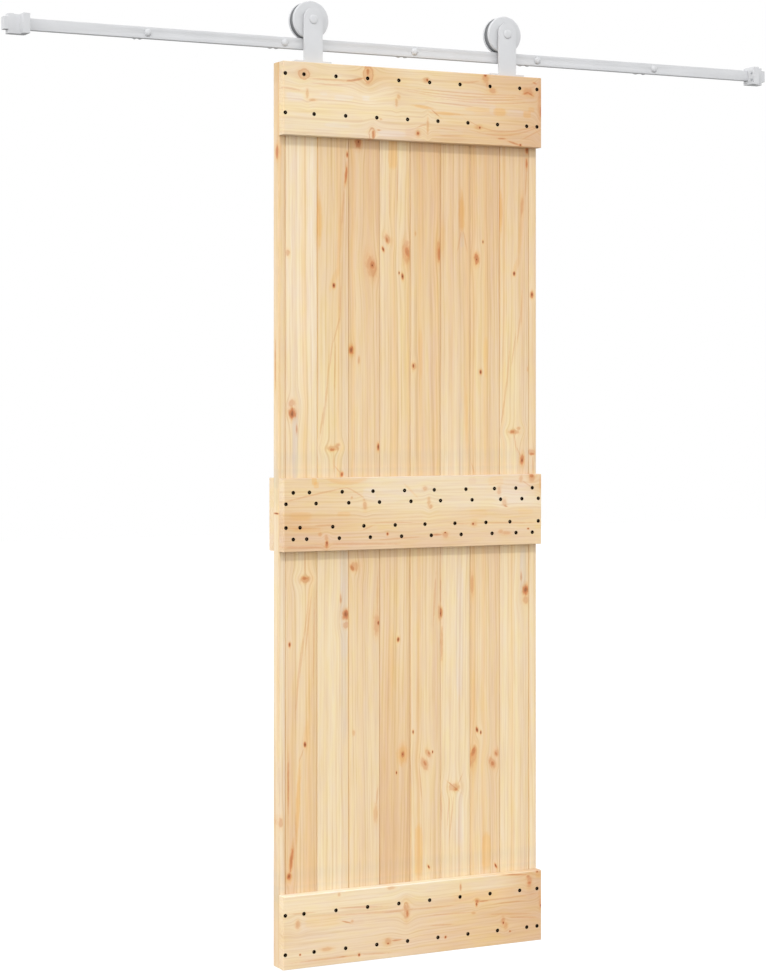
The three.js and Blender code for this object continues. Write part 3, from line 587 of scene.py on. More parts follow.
board("board_7", 27.2, pith=(-290, -52),
    bands={0: {0: "honey", 500: "honey", 1000: "honey", 1400: "honey", 1700: "tan", 2100: "clay"}},
    across={0: "plain", 10: "amber", 20: "light", 34: "plain", 42: "amber", 50: "tan", 60: "rose",
        70: "plain", 81: "rose"},
    lower={0: "tan", 6: "amber", 16: "plain", 26: "light", 36: "amber", 46: "plain", 56: "rose",
        68: "pink", 81: "plain"},
    marks=dict(red=[(18, 1656, 7, 14), (9, 467, 6.5, 13, 0.3), (62, 435, 4.5, 6, -0.3),
            (72, 458, 3.2, 5, -0.2)],
        pin=[(18, 1655, 2.6, 4), (35.5, 1698, 1.6, 4), (29, 1383, 3.8, 6), (19, 519, 3.6, 7, -0.15),
            (29.5, 512, 2.4, 5), (71, 186, 3, 6, -0.4)],
        soft=[(6, 870, 4, 26), (8, 456, 9, 26, 0.2), (61, 436, 10, 13, -0.35), (72, 459, 6, 10)],
        wisp=[(11, 560, 4, 70)], line=[(8, 1150, 1.4, 16, -0.3)]),
    patches=dict(straw=[(30, 1480, 20, 160, 0.5)], pink=[(66, 1750, 10, 140, 0.4)],
        amber=[(44, 1420, 7, 50, 0.8)], flame=[(45, 224, 13, 48, 1)]))
board("board_8", 30.9, pith=(310, -50),
    bands={0: {0: "honey", 300: "pale", 800: "pale", 1350: "pale", 1550: "honey", 2100: "clay"}},
    across={0: "amber", 4: "light", 12: "amber", 20: "light", 34: "plain", 48: "light", 56: "tan",
        63: "pink", 70: "rose", 81: "rose"},
    lower={0: "plain", 20: "light", 36: "amber", 46: "light", 54: "plain", 62: "rose", 70: "rose",
        81: "plain"},
    marks=dict(wisp=[(46, 1640, 5, 18, 0.4), (59, 1725, 4, 50, 0.08)],
        pin=[(41, 1623, 3.8, 6), (63, 1168, 3.4, 8)], knot=[(77, 1925, 4, 9), (73.5, 852, 8.5, 13)],
        red=[(76, 1892, 3, 12), (36, 1238, 7, 4), (63, 1170, 6, 14)],
        line=[(74, 1850, 2, 40, 0.05), (44, 1212, 2, 22, -0.15), (54, 1188, 1.8, 14, -0.5),
            (10, 1290, 2.4, 36, 0.16), (16, 1330, 2, 50, 0.12), (24, 1390, 1.8, 50, 0.08),
            (40, 1440, 1.8, 40, 0.16), (54, 1490, 2, 40, 0.14), (62, 1540, 1.8, 40, 0.03)],
        soft=[(63, 1788, 4, 24, 0.08), (40, 1238, 15, 6), (53, 1246, 6, 4), (74, 828, 9, 9)],
        lens=[(3, 1772, 4, 36)], faint=[(79, 1390, 2, 6)], streak=[(60.5, 886, 2.2, 11)]),
    patches=dict(ash=[(66, 900, 9, 60, 1)], rose=[(70, 1350, 8, 160, 0.6)],
        straw=[(30, 1380, 20, 160, 0.5)]))
board("edge_strip_right", 34.6, seams=(0.0,), pith=(-30, 44),
    bands={0: {0: "pale", 800: "pale", 1200: "honey", 1500: "honey", 2100: "honey"}},
    across={0: "plain", 6: "light", 12: "plain", 18: "rose"},
    lower={0: "amber", 6: "light", 14: "plain", 18: "rose"},
    marks=dict(red=[(9.5, 1573, 5, 8), (9, 1184, 7, 3.5)], pin=[(9.5, 1573, 3.6, 6)],
        soft=[(8, 1188, 10, 7)], line=[(12, 1155, 1.6, 22)]))
ledge("front_ledge_top", 40.0, pith=(330, -40), figure=0.55,
    bands={20: {0: "milk", 150: "milk", 300: "blush", 430: "tan", 570: "clay", 690: "umber"},
           60: {0: "cream", 220: "cream", 330: "pale", 450: "honey", 560: "tan", 690: "umber"},
           105: {0: "cream", 220: "cream", 300: "honey", 400: "milk", 510: "blush", 600: "tan",
               690: "umber"},
           150: {0: "milk", 150: "pale", 230: "tan", 330: "pale", 450: "honey", 560: "clay",
               690: "umber"}},
    marks=dict(faint=[(143, 52, 11, 13), (97, 61, 11, 3.4), (83, 74, 3, 9), (151, 219, 17, 11),
            (47.5, 252, 2, 3), (103, 299, 5, 4), (89, 293.5, 9, 3), (18.5, 350.5, 8, 6),
            (38, 377, 17, 2.6), (146, 370, 5, 5), (147, 539, 10, 3.5), (41, 516, 5, 9),
            (105, 686, 40, 5)], ring=[(142, 53, 11, 13.5), (151, 219, 19, 12), (12, 229, 13, 8)],
        line=[(132.5, 118, 2.4, 56), (121.5, 125, 1.8, 50, 0.02, 0.0008),
            (106.5, 20, 2.2, 26, -0.1), (38.5, 362, 1.8, 13, 0.3, -0.008),
            (148, 492, 2.4, 26, 0.12, 0.003), (107, 500, 1.8, 170, 0.01, 0.0004),
            (114, 500, 1.6, 170, 0.01, 0.0003), (101, 540, 1.6, 130, 0.02, 0.0004),
            (121, 500, 1.4, 150, 0, 0.0002), (93, 440, 1.4, 70, -0.05),
            (27, 600, 2, 90, 0.133, 0.0019), (38, 620, 1.8, 70, 0.18, 0.0015),
            (32, 665, 1.6, 30, 0.5), (40, 530, 1.6, 50, -0.25, 0.003), (33, 430, 1.4, 30, -0.05),
            (18, 440, 1.4, 34, 0.05)],
        streak=[(135.5, 184, 2.8, 24, 0.2, 0.003), (21.5, 246, 1.8, 5), (156, 672, 2.2, 5, -0.3),
            (69, 398, 1.6, 12, -0.7), (17, 580, 2, 12), (8, 612, 2.2, 16, -0.25)],
        red=[(157, 218, 10, 4), (11, 232, 10, 3.6), (131, 648, 2.6, 9, 0.3),
            (129, 659, 2.6, 8, -0.4), (88, 689, 14, 3.6)],
        knot=[(18.5, 350.5, 4.5, 4), (147, 375.5, 4.2, 3.2), (167, 534, 4, 4.5)],
        soft=[(160, 534, 10, 9), (131, 554, 7, 9), (134, 652, 9, 15)],
        lens=[(82, 366, 2.6, 18, -0.1), (70, 425, 2.6, 30, -0.02)],
        pin=[(4, 631, 3, 3.6), (40.5, 518.5, 3.6, 3)]),
    patches=dict(pink=[(150, 60, 22, 60, 0.35), (43, 182, 8, 24, 0.6), (20, 330, 12, 14, 0.8),
            (11, 430, 6, 50, 0.6), (14, 665, 16, 26, 0.5), (140, 675, 20, 20, 0.5)],
        straw=[(64, 30, 13, 40, 0.8), (58, 160, 20, 100, 0.4)],
        chalk=[(89, 30, 10, 24, 0.9), (99, 103, 4, 10, 0.6), (92, 155, 7, 26, 0.9),
            (95, 213, 6, 10, 0.7), (28, 138, 6, 34, 0.6), (14.5, 282, 8, 38, 1),
            (142, 138, 5, 14, 0.5), (85, 554, 13, 9, 0.8), (80, 616, 9, 24, 0.8),
            (26, 440, 9, 34, 0.6)], light=[(104, 247, 30, 46, 0.8), (60, 385, 14, 12, 0.6)],
        flame=[(143, 290, 9, 60, 0.25), (81, 573, 10, 18, 1), (79, 650, 9, 11, 0.9),
            (91, 662, 7, 9, 0.7)],
        amber=[(84, 510, 5, 36, 0.9), (76, 530, 5, 30, 0.5), (85, 0, 100, 4, 0.5)]))
ledge("front_ledge_middle", 45.9, pith=(-240, -28), spacing=9, figure=0.5,
    bands={20: {0: "clay", 120: "tan", 350: "tan", 690: "honey"},
           86: {0: "clay", 150: "tan", 230: "honey", 350: "pale", 470: "honey", 690: "honey"},
           96: {0: "tan", 120: "honey", 260: "pale", 450: "milk", 690: "milk"},
           150: {0: "honey", 80: "honey", 150: "honey", 240: "milk", 450: "milk", 640: "blush",
               690: "tan"}},
    marks=dict(line=[(133, 85, 2, 80, 0.19, -0.0002), (136, 185, 2, 24, -0.55, -0.004),
            (60, 105, 2, 28, 0.02), (54, 45, 1.8, 44, -0.01), (51, 217, 2.2, 15, 0.35),
            (62, 285, 1.8, 60, -0.02, -0.0002), (24, 300, 2, 60, 0.04), (14, 200, 2.4, 100, -0.03),
            (10, 50, 2.4, 60, -0.03), (54, 575, 1.6, 110, -0.02), (55, 460, 1.6, 26, -0.05),
            (147, 649, 2, 12, -0.6)], wisp=[(158, 165, 4, 46, 0, 0.004), (137, 331, 2.6, 12, -0.9)],
        faint=[(123, 176, 3, 2.6), (117, 208, 2, 2), (39, 94, 4, 4), (31, 110, 6, 4),
            (141, 369, 5, 6), (108, 380, 11, 4), (53, 502, 6, 8), (33, 576, 4, 6), (29, 592, 4, 11),
            (131, 572, 9, 5), (103, 587, 9, 6), (160, 633, 7, 5), (148, 688, 14, 3)],
        soft=[(104, 210, 10, 5, -0.2), (98, 385, 6, 4.5), (29, 425, 7, 8), (163, 663, 11, 9)],
        red=[(16, 111, 9, 4), (166, 663, 5, 6)],
        pin=[(18.5, 111.5, 5, 2.6), (35.5, 269.5, 4, 3), (34.5, 424, 2.2, 3.4), (53.5, 500, 3.4, 3),
            (38, 653, 2.2, 3)], streak=[(30, 401, 2.2, 14), (94, 590, 2.2, 5, -0.2)]),
    patches=dict(flame=[(163, 79, 10, 7, 1), (154, 84, 8, 7, 0.9), (74, 30, 24, 40, 0.3),
            (82, 45, 11, 30, 0.5), (85, 155, 6, 18, 0.6)],
        amber=[(163, 165, 7, 50, 0.6), (49, 62, 5, 40, 0.9), (155, 563, 12, 22, 0.9),
            (80, 645, 8, 22, 0.6), (77, 515, 12, 26, 0.6)],
        straw=[(152, 170, 6, 60, 0.6), (43, 680, 5, 9, 1), (48, 270, 10, 30, 0.6),
            (50, 165, 8, 30, 0.6)],
        # The last chalk patch, along the ledge's top face and top front edge, is painted light, as
        # if lit from above.
        chalk=[(130, 222, 15, 18, 0.8), (122, 290, 18, 50, 0.4), (122, 620, 24, 60, 0.5),
            (171, 345, 4, 400, 1)],
        # The light tint laid twice over the ledge's left end is painted light on that end.
        pink=[(157, 498, 9, 11, 1), (14, 130, 10, 60, 0.5), (60, 345, 20, 20, 0.5),
            (40, 80, 42, 110, 0.5), (74, 380, 14, 320, 0.3)], light=[(85, 0, 100, 4, 1)] * 2,
        lilac=[(20, 345, 26, 400, 0.9)]))
ledge("front_ledge_bottom", 51.8, pith=(340, -46), figure=0.55,
    bands={24: {0: "pale", 260: "honey", 420: "tan", 560: "clay", 690: "umber"},
           80: {0: "honey", 120: "pale", 320: "honey", 450: "tan", 570: "clay", 690: "umber"},
           118: {0: "pale", 90: "pale", 330: "honey", 450: "tan", 570: "tan", 650: "umber",
               690: "umber"},
           145: {0: "cream", 300: "milk", 450: "pale", 580: "honey", 640: "clay", 690: "umber"}},
    marks=dict(faint=[(102, 37, 10, 6), (104, 320, 20, 8), (162, 143, 4, 3.5), (165, 279, 4, 10),
            (38, 112, 5, 14), (97, 177, 3, 3), (84, 501, 3, 5), (44, 590, 9, 5)],
        soft=[(103, 36, 7, 4), (113, 317, 10, 3.6), (39, 271, 8, 9), (56, 583, 11, 5),
            (145, 656, 14, 7), (90, 688, 13, 4)],
        line=[(111, 245, 2.2, 110, -0.02, 0.0001), (109, 300, 2.6, 40), (127, 200, 1.8, 60, -0.07),
            (128, 45, 1.6, 34, -0.03), (15.5, 120, 2, 90, 0.005), (14, 240, 1.8, 40, -0.06),
            (111, 600, 1.8, 74, 0.02, 0.0004), (100, 600, 1.6, 44), (108, 395, 1.8, 60, -0.02),
            (64, 415, 1.6, 30, -0.06), (72, 600, 1.8, 60, -0.08), (60, 640, 1.8, 40, -0.1),
            (88, 440, 1.4, 60, -0.03)], ring=[(118, 318, 8, 5)],
        red=[(101, 322, 8, 3.6), (111, 511, 5, 5), (142, 656, 4, 5)],
        pin=[(32, 42.5, 2.6, 2.6), (16, 195, 3.6, 3.2), (34.5, 271, 2.4, 3), (52, 583.5, 4, 2.4),
            (30, 602, 2, 2.6), (34, 425, 3.4, 3), (167, 678, 2.6, 2.8), (84, 688.5, 4, 3)],
        streak=[(16, 152, 1.6, 14), (40, 293, 2, 12), (96, 162, 1.6, 12, -0.3), (149, 466, 8, 2.6),
            (110, 528, 1.8, 14), (158, 653, 4, 5), (165.5, 615, 2, 34, -0.08)],
        knot=[(104, 509.5, 6, 2.8)]),
    patches=dict(amber=[(105, 100, 16, 48, 0.8), (126, 530, 13, 92, 0.9)],
        straw=[(104, 75, 10, 20, 0.6), (130, 345, 8, 40, 0.6), (74, 465, 14, 50, 0.4),
            (20, 540, 10, 50, 0.6)], rose=[(76, 95, 10, 50, 0.7)],
        pink=[(93, 188, 6, 22, 0.8), (127, 188, 4, 30, 0.7), (12, 70, 14, 90, 0.6),
            (44, 660, 14, 30, 0.5), (46, 430, 8, 80, 0.5)], chalk=[(150, 560, 14, 70, 0.5)],
        flame=[(160, 682, 8, 9, 0.9), (112, 687, 9, 6, 0.6)], tan=[(130, 670, 40, 20, 0.3)],
        # The light tint laid four times along the ledge's top face and top front edge is painted
        # light, as if lit from above.
        lilac=[(60, 240, 70, 260, 0.9)], light=[(171, 345, 4, 400, 1)] * 4))
ledge("rear_ledge_middle", 57.7, pith=(60, 70), spacing=7, sway=12, figure=0.6,
    bands={0: {0: "blush", 200: "milk", 420: "pale", 690: "honey"},
           100: {0: "pale", 300: "honey", 690: "pale"}},
    marks=dict(knot=[(60, 160, 9, 12)], pin=[(120, 390, 4, 6)], red=[(40, 560, 8, 12)],
        line=[(90, 420, 1.6, 120, 0.02)], faint=[(138, 620, 8, 10)]),
    patches=dict(amber=[(110, 240, 12, 50, 0.6)], rose=[(30, 420, 12, 70, 0.5)]))


# ---------- paint and steel
def paint(name, groove_shade=None):
    """White powder coat: nearly even, with a faint orange-peel surface. Faces that turn downward
    get painted shade, mixed towards a dark grey.

    The last argument, where given, is (inner, outer, half width, middle) of a wheel's tread, in
    metres: painted shade darkens that band, standing in for the shade in the groove between the
    flanges.
    """
    material, t, shader = new_material(name)
    at = t.coordinates()
    cloud = t.noise(at, scale=14.0)
    coat = t.mix(t.smooth(cloud, 0.3, 0.7), darker(WHITE, 0.96), WHITE)
    # Painted shade: faces that turn downward are mixed towards a dark grey.
    facing = t.split(t.node("NewGeometry").outputs["True Normal"])[2]
    coat = t.mix(t.smooth(facing, -0.98, -0.75, 0.75, 0.0), coat, SHADE_GREY)
    # Painted shade on the tread between the flanges, standing in for the shade in the groove.
    if groove_shade is not None:
        inner, outer, half_width, middle = groove_shade
        x, y, z = t.split(t.vector("SUBTRACT", at, middle))
        radius = t.vector("LENGTH", t.join(x, 0.0, z))
        band = t.smooth(t.math("ABSOLUTE", y), half_width, half_width + 0.3 * MM, 1.0, 0.0)
        coat = t.mix(t.times(band, t.smooth(radius, inner, outer, 0.85, 0.0)), coat, SHADE_GREY)
    peel = t.noise(at, scale=900.0)
    rough = t.math("MULTIPLY_ADD", peel, 0.12, 0.38)
    t.filled(shader, {"Base Color": coat, "Roughness": rough, "Specular IOR Level": 0.35})
    t.bump(shader, peel, 0.05 * MM, 0.25)
    return material


def steel(name, colour, roughness, metallic=1.0, shine=0.5):
    """Plated or blackened steel, with a slight bloom."""
    material, t, shader = new_material(name)
    bloom = t.noise(t.coordinates(), scale=160.0, detail=4.0, roughness=0.6)
    t.filled(shader, {
        "Base Color": t.mix(t.smooth(bloom, 0.35, 0.7), colour, darker(colour, 0.8)),
        "Roughness": t.math("MULTIPLY_ADD", bloom, 0.2, roughness),
        "Metallic": metallic, "Specular IOR Level": shine})
    t.bump(shader, bloom, 0.03 * MM, 0.3)
    return material


# A finish is a material and the record's slot for it.
WHITE = linear(214, 215, 217)
# A dark grey that the white paint is mixed towards as painted shade, on downward faces and on wheel
# treads.
SHADE_GREY = linear(92, 94, 96)
PAINT = (paint("white_powder_coat"), "white_paint")
ZINC = (steel("zinc_plate", linear(188, 191, 194), 0.28), "zinc")
BLACK = (steel("black_oxide", linear(26, 16, 8), 0.75, 0.0, 0.06), "zinc")

# ---------- mesh pieces
ROUND, HEX, CROSS, COARSE_THREAD = "round", "hex", "cross", "thread"
THREAD_PITCH = 2.5
X, Y, Z = Vector((1, 0, 0)), Vector((0, 1, 0)), Vector((0, 0, 1))


def outline(kind, angle, along):
    """How far a ring's outline is from its axis at an angle, as a share of its radius."""
    if kind == HEX:
        return math.cos(math.pi / 6) / math.cos(angle % (math.pi / 3) - math.pi / 6)
    if kind == CROSS:
        return 0.32 + 0.68 * abs(math.cos(2 * angle)) ** 3
    if kind == COARSE_THREAD:
        turn = (angle / (2 * math.pi) - along / THREAD_PITCH) % 1.0
        return 0.80 + 0.20 * abs(2 * turn - 1)
    return 1.0


def eased(profile, steps):
    """A profile of (radius, along), with a fillet or a kind after them, as (radius, along, kind)
    rings."""
    rings = []
    for index, (radius, along, *more) in enumerate(profile):
        extra = more[0] if more else ROUND
        if isinstance(extra, str):
            rings.append((radius, along, extra))
            continue
        here = Vector((radius, along))
        before = Vector(profile[index - 1][:2])
        after = Vector(profile[(index + 1) % len(profile)][:2])
        start = here + (before - here).normalized() * extra
        end = here + (after - here).normalized() * extra
        for step in range(steps + 1):
            share = step / steps
            at = start * (1 - share) ** 2 + here * 2 * share * (1 - share) + end * share ** 2
            rings.append((at.x, at.y, ROUND))
    return rings


def lathe(bm, profile, origin, axis, sides, steps=3, closed=False):
    """Adds a turned body. The first and last ring meet if closed, and else end on the axis."""
    side = Z if abs(axis.z) < 0.5 else X
    other = axis.cross(side)
    loops = []
    for radius, along, kind in eased(profile, steps):
        centre = origin + axis * (along * MM)
        loop = []
        for index in range(sides if radius > 0 else 1):
            angle = 2 * math.pi * index / sides
            reach = radius * outline(kind, angle, along) * MM
            loop.append(bm.verts.new(
                centre + (side * math.cos(angle) + other * math.sin(angle)) * reach))
        loops.append(loop)
    pairs = list(zip(loops, loops[1:]))
    if closed:
        pairs.append((loops[-1], loops[0]))
    for a, b in pairs:
        for index in range(sides):
            after = (index + 1) % sides
            if len(a) == 1:
                bm.faces.new((a[0], b[index], b[after]))
            elif len(b) == 1:
                bm.faces.new((a[index], b[0], a[after]))
            else:
                bm.faces.new((a[index], b[index], b[after], a[after]))


def piece_from(bm, name, body, finish, stands_for=(), sharp=32):
    """Makes the mesh a piece that rides on a body and stands for these CAD nodes."""
    bmesh.ops.recalc_face_normals(bm, faces=bm.faces)
    mesh = bpy.data.meshes.new(name)
    bm.to_mesh(mesh)
    bm.free()
    mesh.materials.append(finish[0])
    mesh.shade_smooth()
    mesh.set_sharp_from_angle(angle=math.radians(sharp))
    piece = bpy.data.objects.new(name, mesh)
    bpy.context.scene.collection.objects.link(piece)
    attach(piece, body)
    if stands_for:
        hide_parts(*stands_for)


def body_of(node):
    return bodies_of(nodes[node])[0]


def extent(node, axis=Y):
    """(middle of the end that the axis starts from, length along it in mm) of a CAD node."""
    low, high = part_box(node)
    middle = (low + high) / 2
    half = abs((high - low).dot(axis)) / 2
    return middle - axis * half, 2 * half / MM


def turned(node, profile, finish, origin, axis=Y, sides=64, closed=False, steps=3):
    """A turned piece that stands for a CAD node."""
    bm = bmesh.new()
    lathe(bm, profile, origin, axis, sides, steps, closed)
    piece_from(bm, "turned_" + node, body_of(node), finish, [node])


def softened(node, width, segments=2):
    """The CAD node's own form with its edges rounded over."""
    bm = bmesh.new()
    bm.from_mesh(nodes[node].data)
    bmesh.ops.remove_doubles(bm, verts=bm.verts, dist=1e-6)
    bmesh.ops.dissolve_limit(bm, angle_limit=math.radians(0.6), verts=bm.verts, edges=bm.edges)
    edges = [edge for edge in bm.edges
             if len(edge.link_faces) == 2 and edge.calc_face_angle() > math.radians(40)]
    bmesh.ops.bevel(bm, geom=edges, offset=width * MM, offset_type="OFFSET", segments=segments,
                    profile=0.5, affect="EDGES", clamp_overlap=True, harden_normals=False)
    bmesh.ops.triangulate(bm, faces=[face for face in bm.faces if len(face.verts) > 4])
    piece_from(bm, "softened_" + node, body_of(node), PAINT, [node], sharp=25)


def mirrored(half):
    """The whole profile of a body that is the same at both ends, from its half past the middle."""
    return [(radius, -along, *more) for radius, along, *more in reversed(half)] + half


def spaced(start, end, step):
    return [start + step * index for index in range(math.ceil((end - start) / step))]


AXLE_HOLE = 4.3
TUBE_RADIUS = 9.0
SHANK = 4.0
RAIL_BOLTS = 5
RAIL_BOLT_HEAD = 5.0
RAIL_BOLT_POINT = 9.0
THREAD_LENGTH = 44.0
AXLE_HEAD = 2.5
AXLE_THREAD = 9.0
FOOT_SCREW_HEAD = 3.0
STOP_SCREW_HEAD = 2.5
WHEEL_RADIUS = 45.0
TREAD_RADIUS = 42.2
TREAD_HALF = 8.2
WHEEL_HALF = 16.0
BEARING_HALF = 15.5


def tube(node, fillet, finish, sides):
    start, length = extent(node)
    profile = [(AXLE_HOLE, 0), (TUBE_RADIUS, 0, fillet), (TUBE_RADIUS, length, fillet),
               (AXLE_HOLE, length)]
    turned(node, profile, finish, start, sides=sides, closed=True)


def bolt(node, head, finish, tail_of, sides):
    """A bolt along Y. Its profile is head, which ends under it at 0, then tail_of(reach)."""
    start, length = extent(node)
    under = -head[0][1]
    tail = tail_of(length - under)
    turned(node, head + tail, finish, start + Y * under * MM, sides=sides)


def screw(node, head, height, axis, point):
    """A screw that points against the axis. point is (its length, radius before and after)."""
    start, length = extent(node, axis)
    reach = length - height
    taper, shank, tip = point
    profile = head + [(shank, 0), (shank, taper - reach), (tip, -reach), (0, -reach)]
    turned(node, profile, ZINC, start + axis * reach * MM, axis, 32)


def rail_bolt_tail(reach):
    start, end = reach - THREAD_LENGTH, reach - RAIL_BOLT_POINT
    thread = [(SHANK, along, COARSE_THREAD) for along in spaced(start + 1, end, THREAD_PITCH / 6)]
    return [(SHANK, 0), (SHANK, start), *thread, (3.2, end + 1), (1.0, reach), (0, reach)]


def axle_tail(reach):
    profile = [(SHANK, 0), (SHANK, reach - AXLE_THREAD)]
    for along in spaced(reach - AXLE_THREAD + 0.5, reach - 0.8, 1.0):
        profile += [(SHANK, along), (3.6, along + 0.5)]
    return profile + [(3.3, reach), (0, reach)]


softened("rail", 0.8)
for hand in ("left", "right"):
    softened("hanger_" + hand, 1.5, 3)
    softened("end_stop_" + hand, 1.2)
for number in range(1, RAIL_BOLTS + 1):
    tube(f"rail_spacer_{number}", 0.5, PAINT, 48)
    head = [(0, -RAIL_BOLT_HEAD), (2.2, -4.85), (4.3, -4.35), (6.2, -3.45), (7.7, -2.2),
            (8.7, -0.7, 0.3), (8.6, 0)]
    bolt(f"rail_bolt_{number}", head, PAINT, rail_bolt_tail, 48)

for hand, inward in (("left", X), ("right", -X)):
    low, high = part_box("wheel_" + hand)
    centre = (low + high) / 2
    wheel = [(TREAD_RADIUS, TREAD_HALF), (WHEEL_RADIUS, TREAD_HALF + 0.4, 0.5),
             (WHEEL_RADIUS, WHEEL_HALF, 3.0), (11.3, WHEEL_HALF)]
    # Painted shade darkens the tread in the wheel's groove.
    groove_shade = (43 * MM, 44.5 * MM, 8.3 * MM, tuple(centre))
    coat = (paint("wheel_coat_" + hand, groove_shade), "white_paint")
    turned("wheel_" + hand, mirrored(wheel), coat, centre, sides=120, closed=True, steps=5)
    bearing = [(11.0, BEARING_HALF, 0.3), (9.2, BEARING_HALF, 0.3), (9.0, 14.9), (6.2, 14.9),
               (6.0, BEARING_HALF, 0.3), (4.15, BEARING_HALF)]
    turned("wheel_bearing_" + hand, mirrored(bearing), ZINC, centre, closed=True, steps=2)

    tube("axle_bush_" + hand, 0.6, ZINC, 64)
    head = [(0, -AXLE_HEAD), (4.5, -2.4), (8.2, -2.05), (10.1, -1.4), (10.8, -0.6, 0.3), (10.8, 0)]
    bolt("axle_bolt_" + hand, head, PAINT, axle_tail, 64)
    start, length = extent("axle_nut_" + hand)
    half = length / 2
    nut = [(7.5, half - 0.7, HEX), (6.4, half), (4.9, half), (AXLE_HOLE, half - 0.6)]
    turned("axle_nut_" + hand, mirrored(nut), ZINC, start + Y * half * MM, sides=48, closed=True)

    for level in ("lower", "upper"):
        head = [(0, 0.9), (0.5, 1.1, CROSS), (1.5, 2.2, CROSS), (1.7, 2.5), (2.5, 2.1), (2.9, 1.0),
                (2.9, 0)]
        screw(f"end_stop_{hand}_screw_{level}", head, STOP_SCREW_HEAD, inward, (0.5, 2, 1.5))
    for end in ("a", "b"):
        head = [(0, 1.0), (0.6, 1.2, CROSS), (2.7, 2.5, CROSS), (3.0, 3.0), (4.2, 2.3), (5.0, 0.7),
                (5.0, 0)]
        screw(f"foot_screw_{hand}_{end}", head, FOOT_SCREW_HEAD, Z, (5, 2.5, 0.5))


# Black screws in the front ledges, a little below the wood. Rows are {above the ledge's middle:
# [from its left end, ...]}. Between the ends they step from board to board.
def row(first, offsets, last):
    steps = [LEFT_STRIP + BOARD_WIDTH * k + offset for k, offset in enumerate(offsets)]
    return [first, *steps, last]


UPPER_ROW = row(5.2, [36 + 0.9 * k for k in range(8)], 677.8)
LOWER_ROW = row(5.2, [62] * 8, 677.8)
UPPER_PAIRS = (50, 53, 52, 54, 52, 56.5, 53.5, 31.5)
LOWER_PAIRS = (43, 45.5, 45, 46, 44, 43.5, 47, 32)
PAIR_STEP = 17
LEDGE_SCREWS = {
    "front_ledge_top": {56.5: UPPER_ROW, -34.5: LOWER_ROW},
    "front_ledge_middle": {
        52: row(25.3, UPPER_PAIRS, 664.5),
        26: row(6.8, [at + PAIR_STEP for at in UPPER_PAIRS], 681.5),
        -29: row(6.8, [at - PAIR_STEP for at in LOWER_PAIRS], 681.5),
        -56: row(25.3, LOWER_PAIRS, 664.5),
    },
    "front_ledge_bottom": {41: UPPER_ROW, -50: LOWER_ROW},
}
SCREW_SINK = 0.12
LEDGE_SCREW = [(0, -1.2), (0.6, -1.1, CROSS), (2.5, -0.2, CROSS), (2.9, 0), (4.3, -0.02),
               (4.6, -0.12), (4.62, -0.4), (0, -1.45)]
for node, rows in LEDGE_SCREWS.items():
    low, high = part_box(node)
    bm = bmesh.new()
    for above, places in rows.items():
        for at in places:
            origin = Vector((low.x + at * MM, low.y + SCREW_SINK * MM,
                             (low.z + high.z) / 2 + above * MM))
            lathe(bm, LEDGE_SCREW, origin, -Y, 24)
    piece_from(bm, node + "_screws", "door", BLACK)

# ---------- camera, light and floor
scene = bpy.context.scene
scene.view_settings.view_transform = "Standard"

lens = bpy.data.cameras.new("camera")
lens.sensor_width = 36.0
lens.lens = 88.23
lens.shift_y = -0.1011
lens.clip_end = 100.0
camera = bpy.data.objects.new("camera", lens)
camera.location = (-2.6489, -5.1234, -0.8074)
camera.rotation_euler = (math.radians(90), 0.0, math.radians(-26.827))
scene.collection.objects.link(camera)
scene.camera = camera


def show(t, output, lighting, seen):
    """One shader lights the object, and the other is what the camera and reflections see."""
    path = t.node("LightPath").outputs
    direct = t.math("MAXIMUM", path["Is Camera Ray"], path["Is Glossy Ray"])
    direct = t.math("MAXIMUM", direct, path["Is Transmission Ray"])
    chosen = t.shader("MixShader", (direct, lighting, seen))
    t.put(t.node(output).inputs["Surface"], chosen)


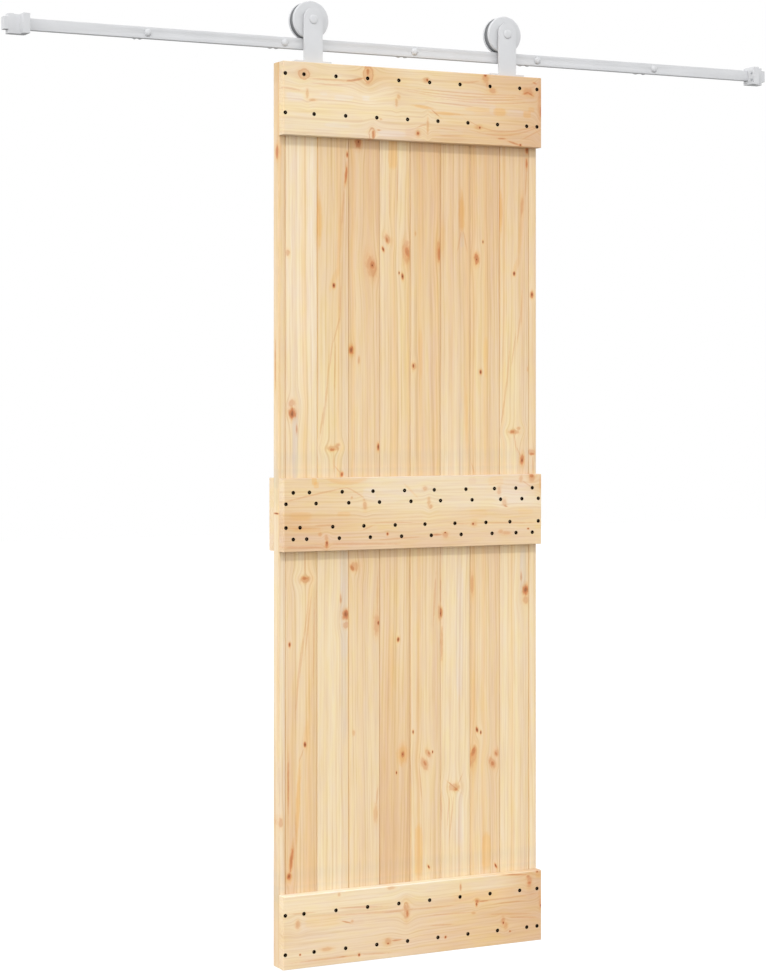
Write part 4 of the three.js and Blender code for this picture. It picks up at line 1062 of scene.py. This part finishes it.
FLOOR_DROP = 0.32
FLOOR_HALF = 20.0
FLOOR_GLOW = 0.55
FLOOR_PALE = (0.5, 0.5, 0.5, 1.0)
FLOOR_GREY = (0.32, 0.32, 0.32, 1.0)
corners = [(x * FLOOR_HALF, y * FLOOR_HALF, cad_low.z - FLOOR_DROP)
           for x, y in ((-1, -1), (1, -1), (1, 1), (-1, 1))]
floor_mesh = bpy.data.meshes.new("floor")
floor_mesh.from_pydata(corners, [], [(0, 1, 2, 3)])
floor = bpy.data.objects.new("floor", floor_mesh)
scene.collection.objects.link(floor)
floor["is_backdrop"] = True
floor_look = bpy.data.materials.new("floor")
t = tree_of(floor_look)
glow = t.shader("Emission", {"Strength": FLOOR_GLOW})
pale = t.shader("BsdfDiffuse", {"Color": FLOOR_PALE})
grey = t.shader("BsdfDiffuse", {"Color": FLOOR_GREY})
show(t, "OutputMaterial", grey, t.shader("AddShader", (glow, pale)))
floor_mesh.materials.append(floor_look)

# A soft studio round the object: brightest low down and to its left, dimmer overhead and below.
STUDIO = 2.0
STUDIO_LEFT = 1.15
STUDIO_OVERHEAD = -1.45
STUDIO_BELOW = 0.2
world = bpy.data.worlds.new("studio")
scene.world = world
t = tree_of(world)
across, _, up = t.split(t.coordinates("Generated"))
left = t.math("MAXIMUM", t.times(across, -1.0), 0.0)
side = t.math("MULTIPLY_ADD", left, STUDIO_LEFT, STUDIO)
dome = t.math("MULTIPLY_ADD", up, STUDIO_OVERHEAD, side)
above = t.less(dome, STUDIO_BELOW)
strength = t.math("MULTIPLY_ADD", t.smooth(up, -0.02, 0.02), above, STUDIO_BELOW)
soft = t.shader("Background", {"Strength": strength})
white = t.shader("Background", {"Color": (1.0, 1.0, 1.0, 1.0)})
show(t, "OutputWorld", soft, white)

sun_data = bpy.data.lights.new("key", "SUN")
sun_data.energy = 0.87
sun_data.angle = math.radians(3.0)
sun = bpy.data.objects.new("key", sun_data)
sun.location = (-1.0, -3.3, 3.0)
sun.rotation_mode = "QUATERNION"
sun.rotation_quaternion = (-sun.location).to_track_quat("-Z", "Y")
scene.collection.objects.link(sun)

# ---------- sizes
low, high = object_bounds()
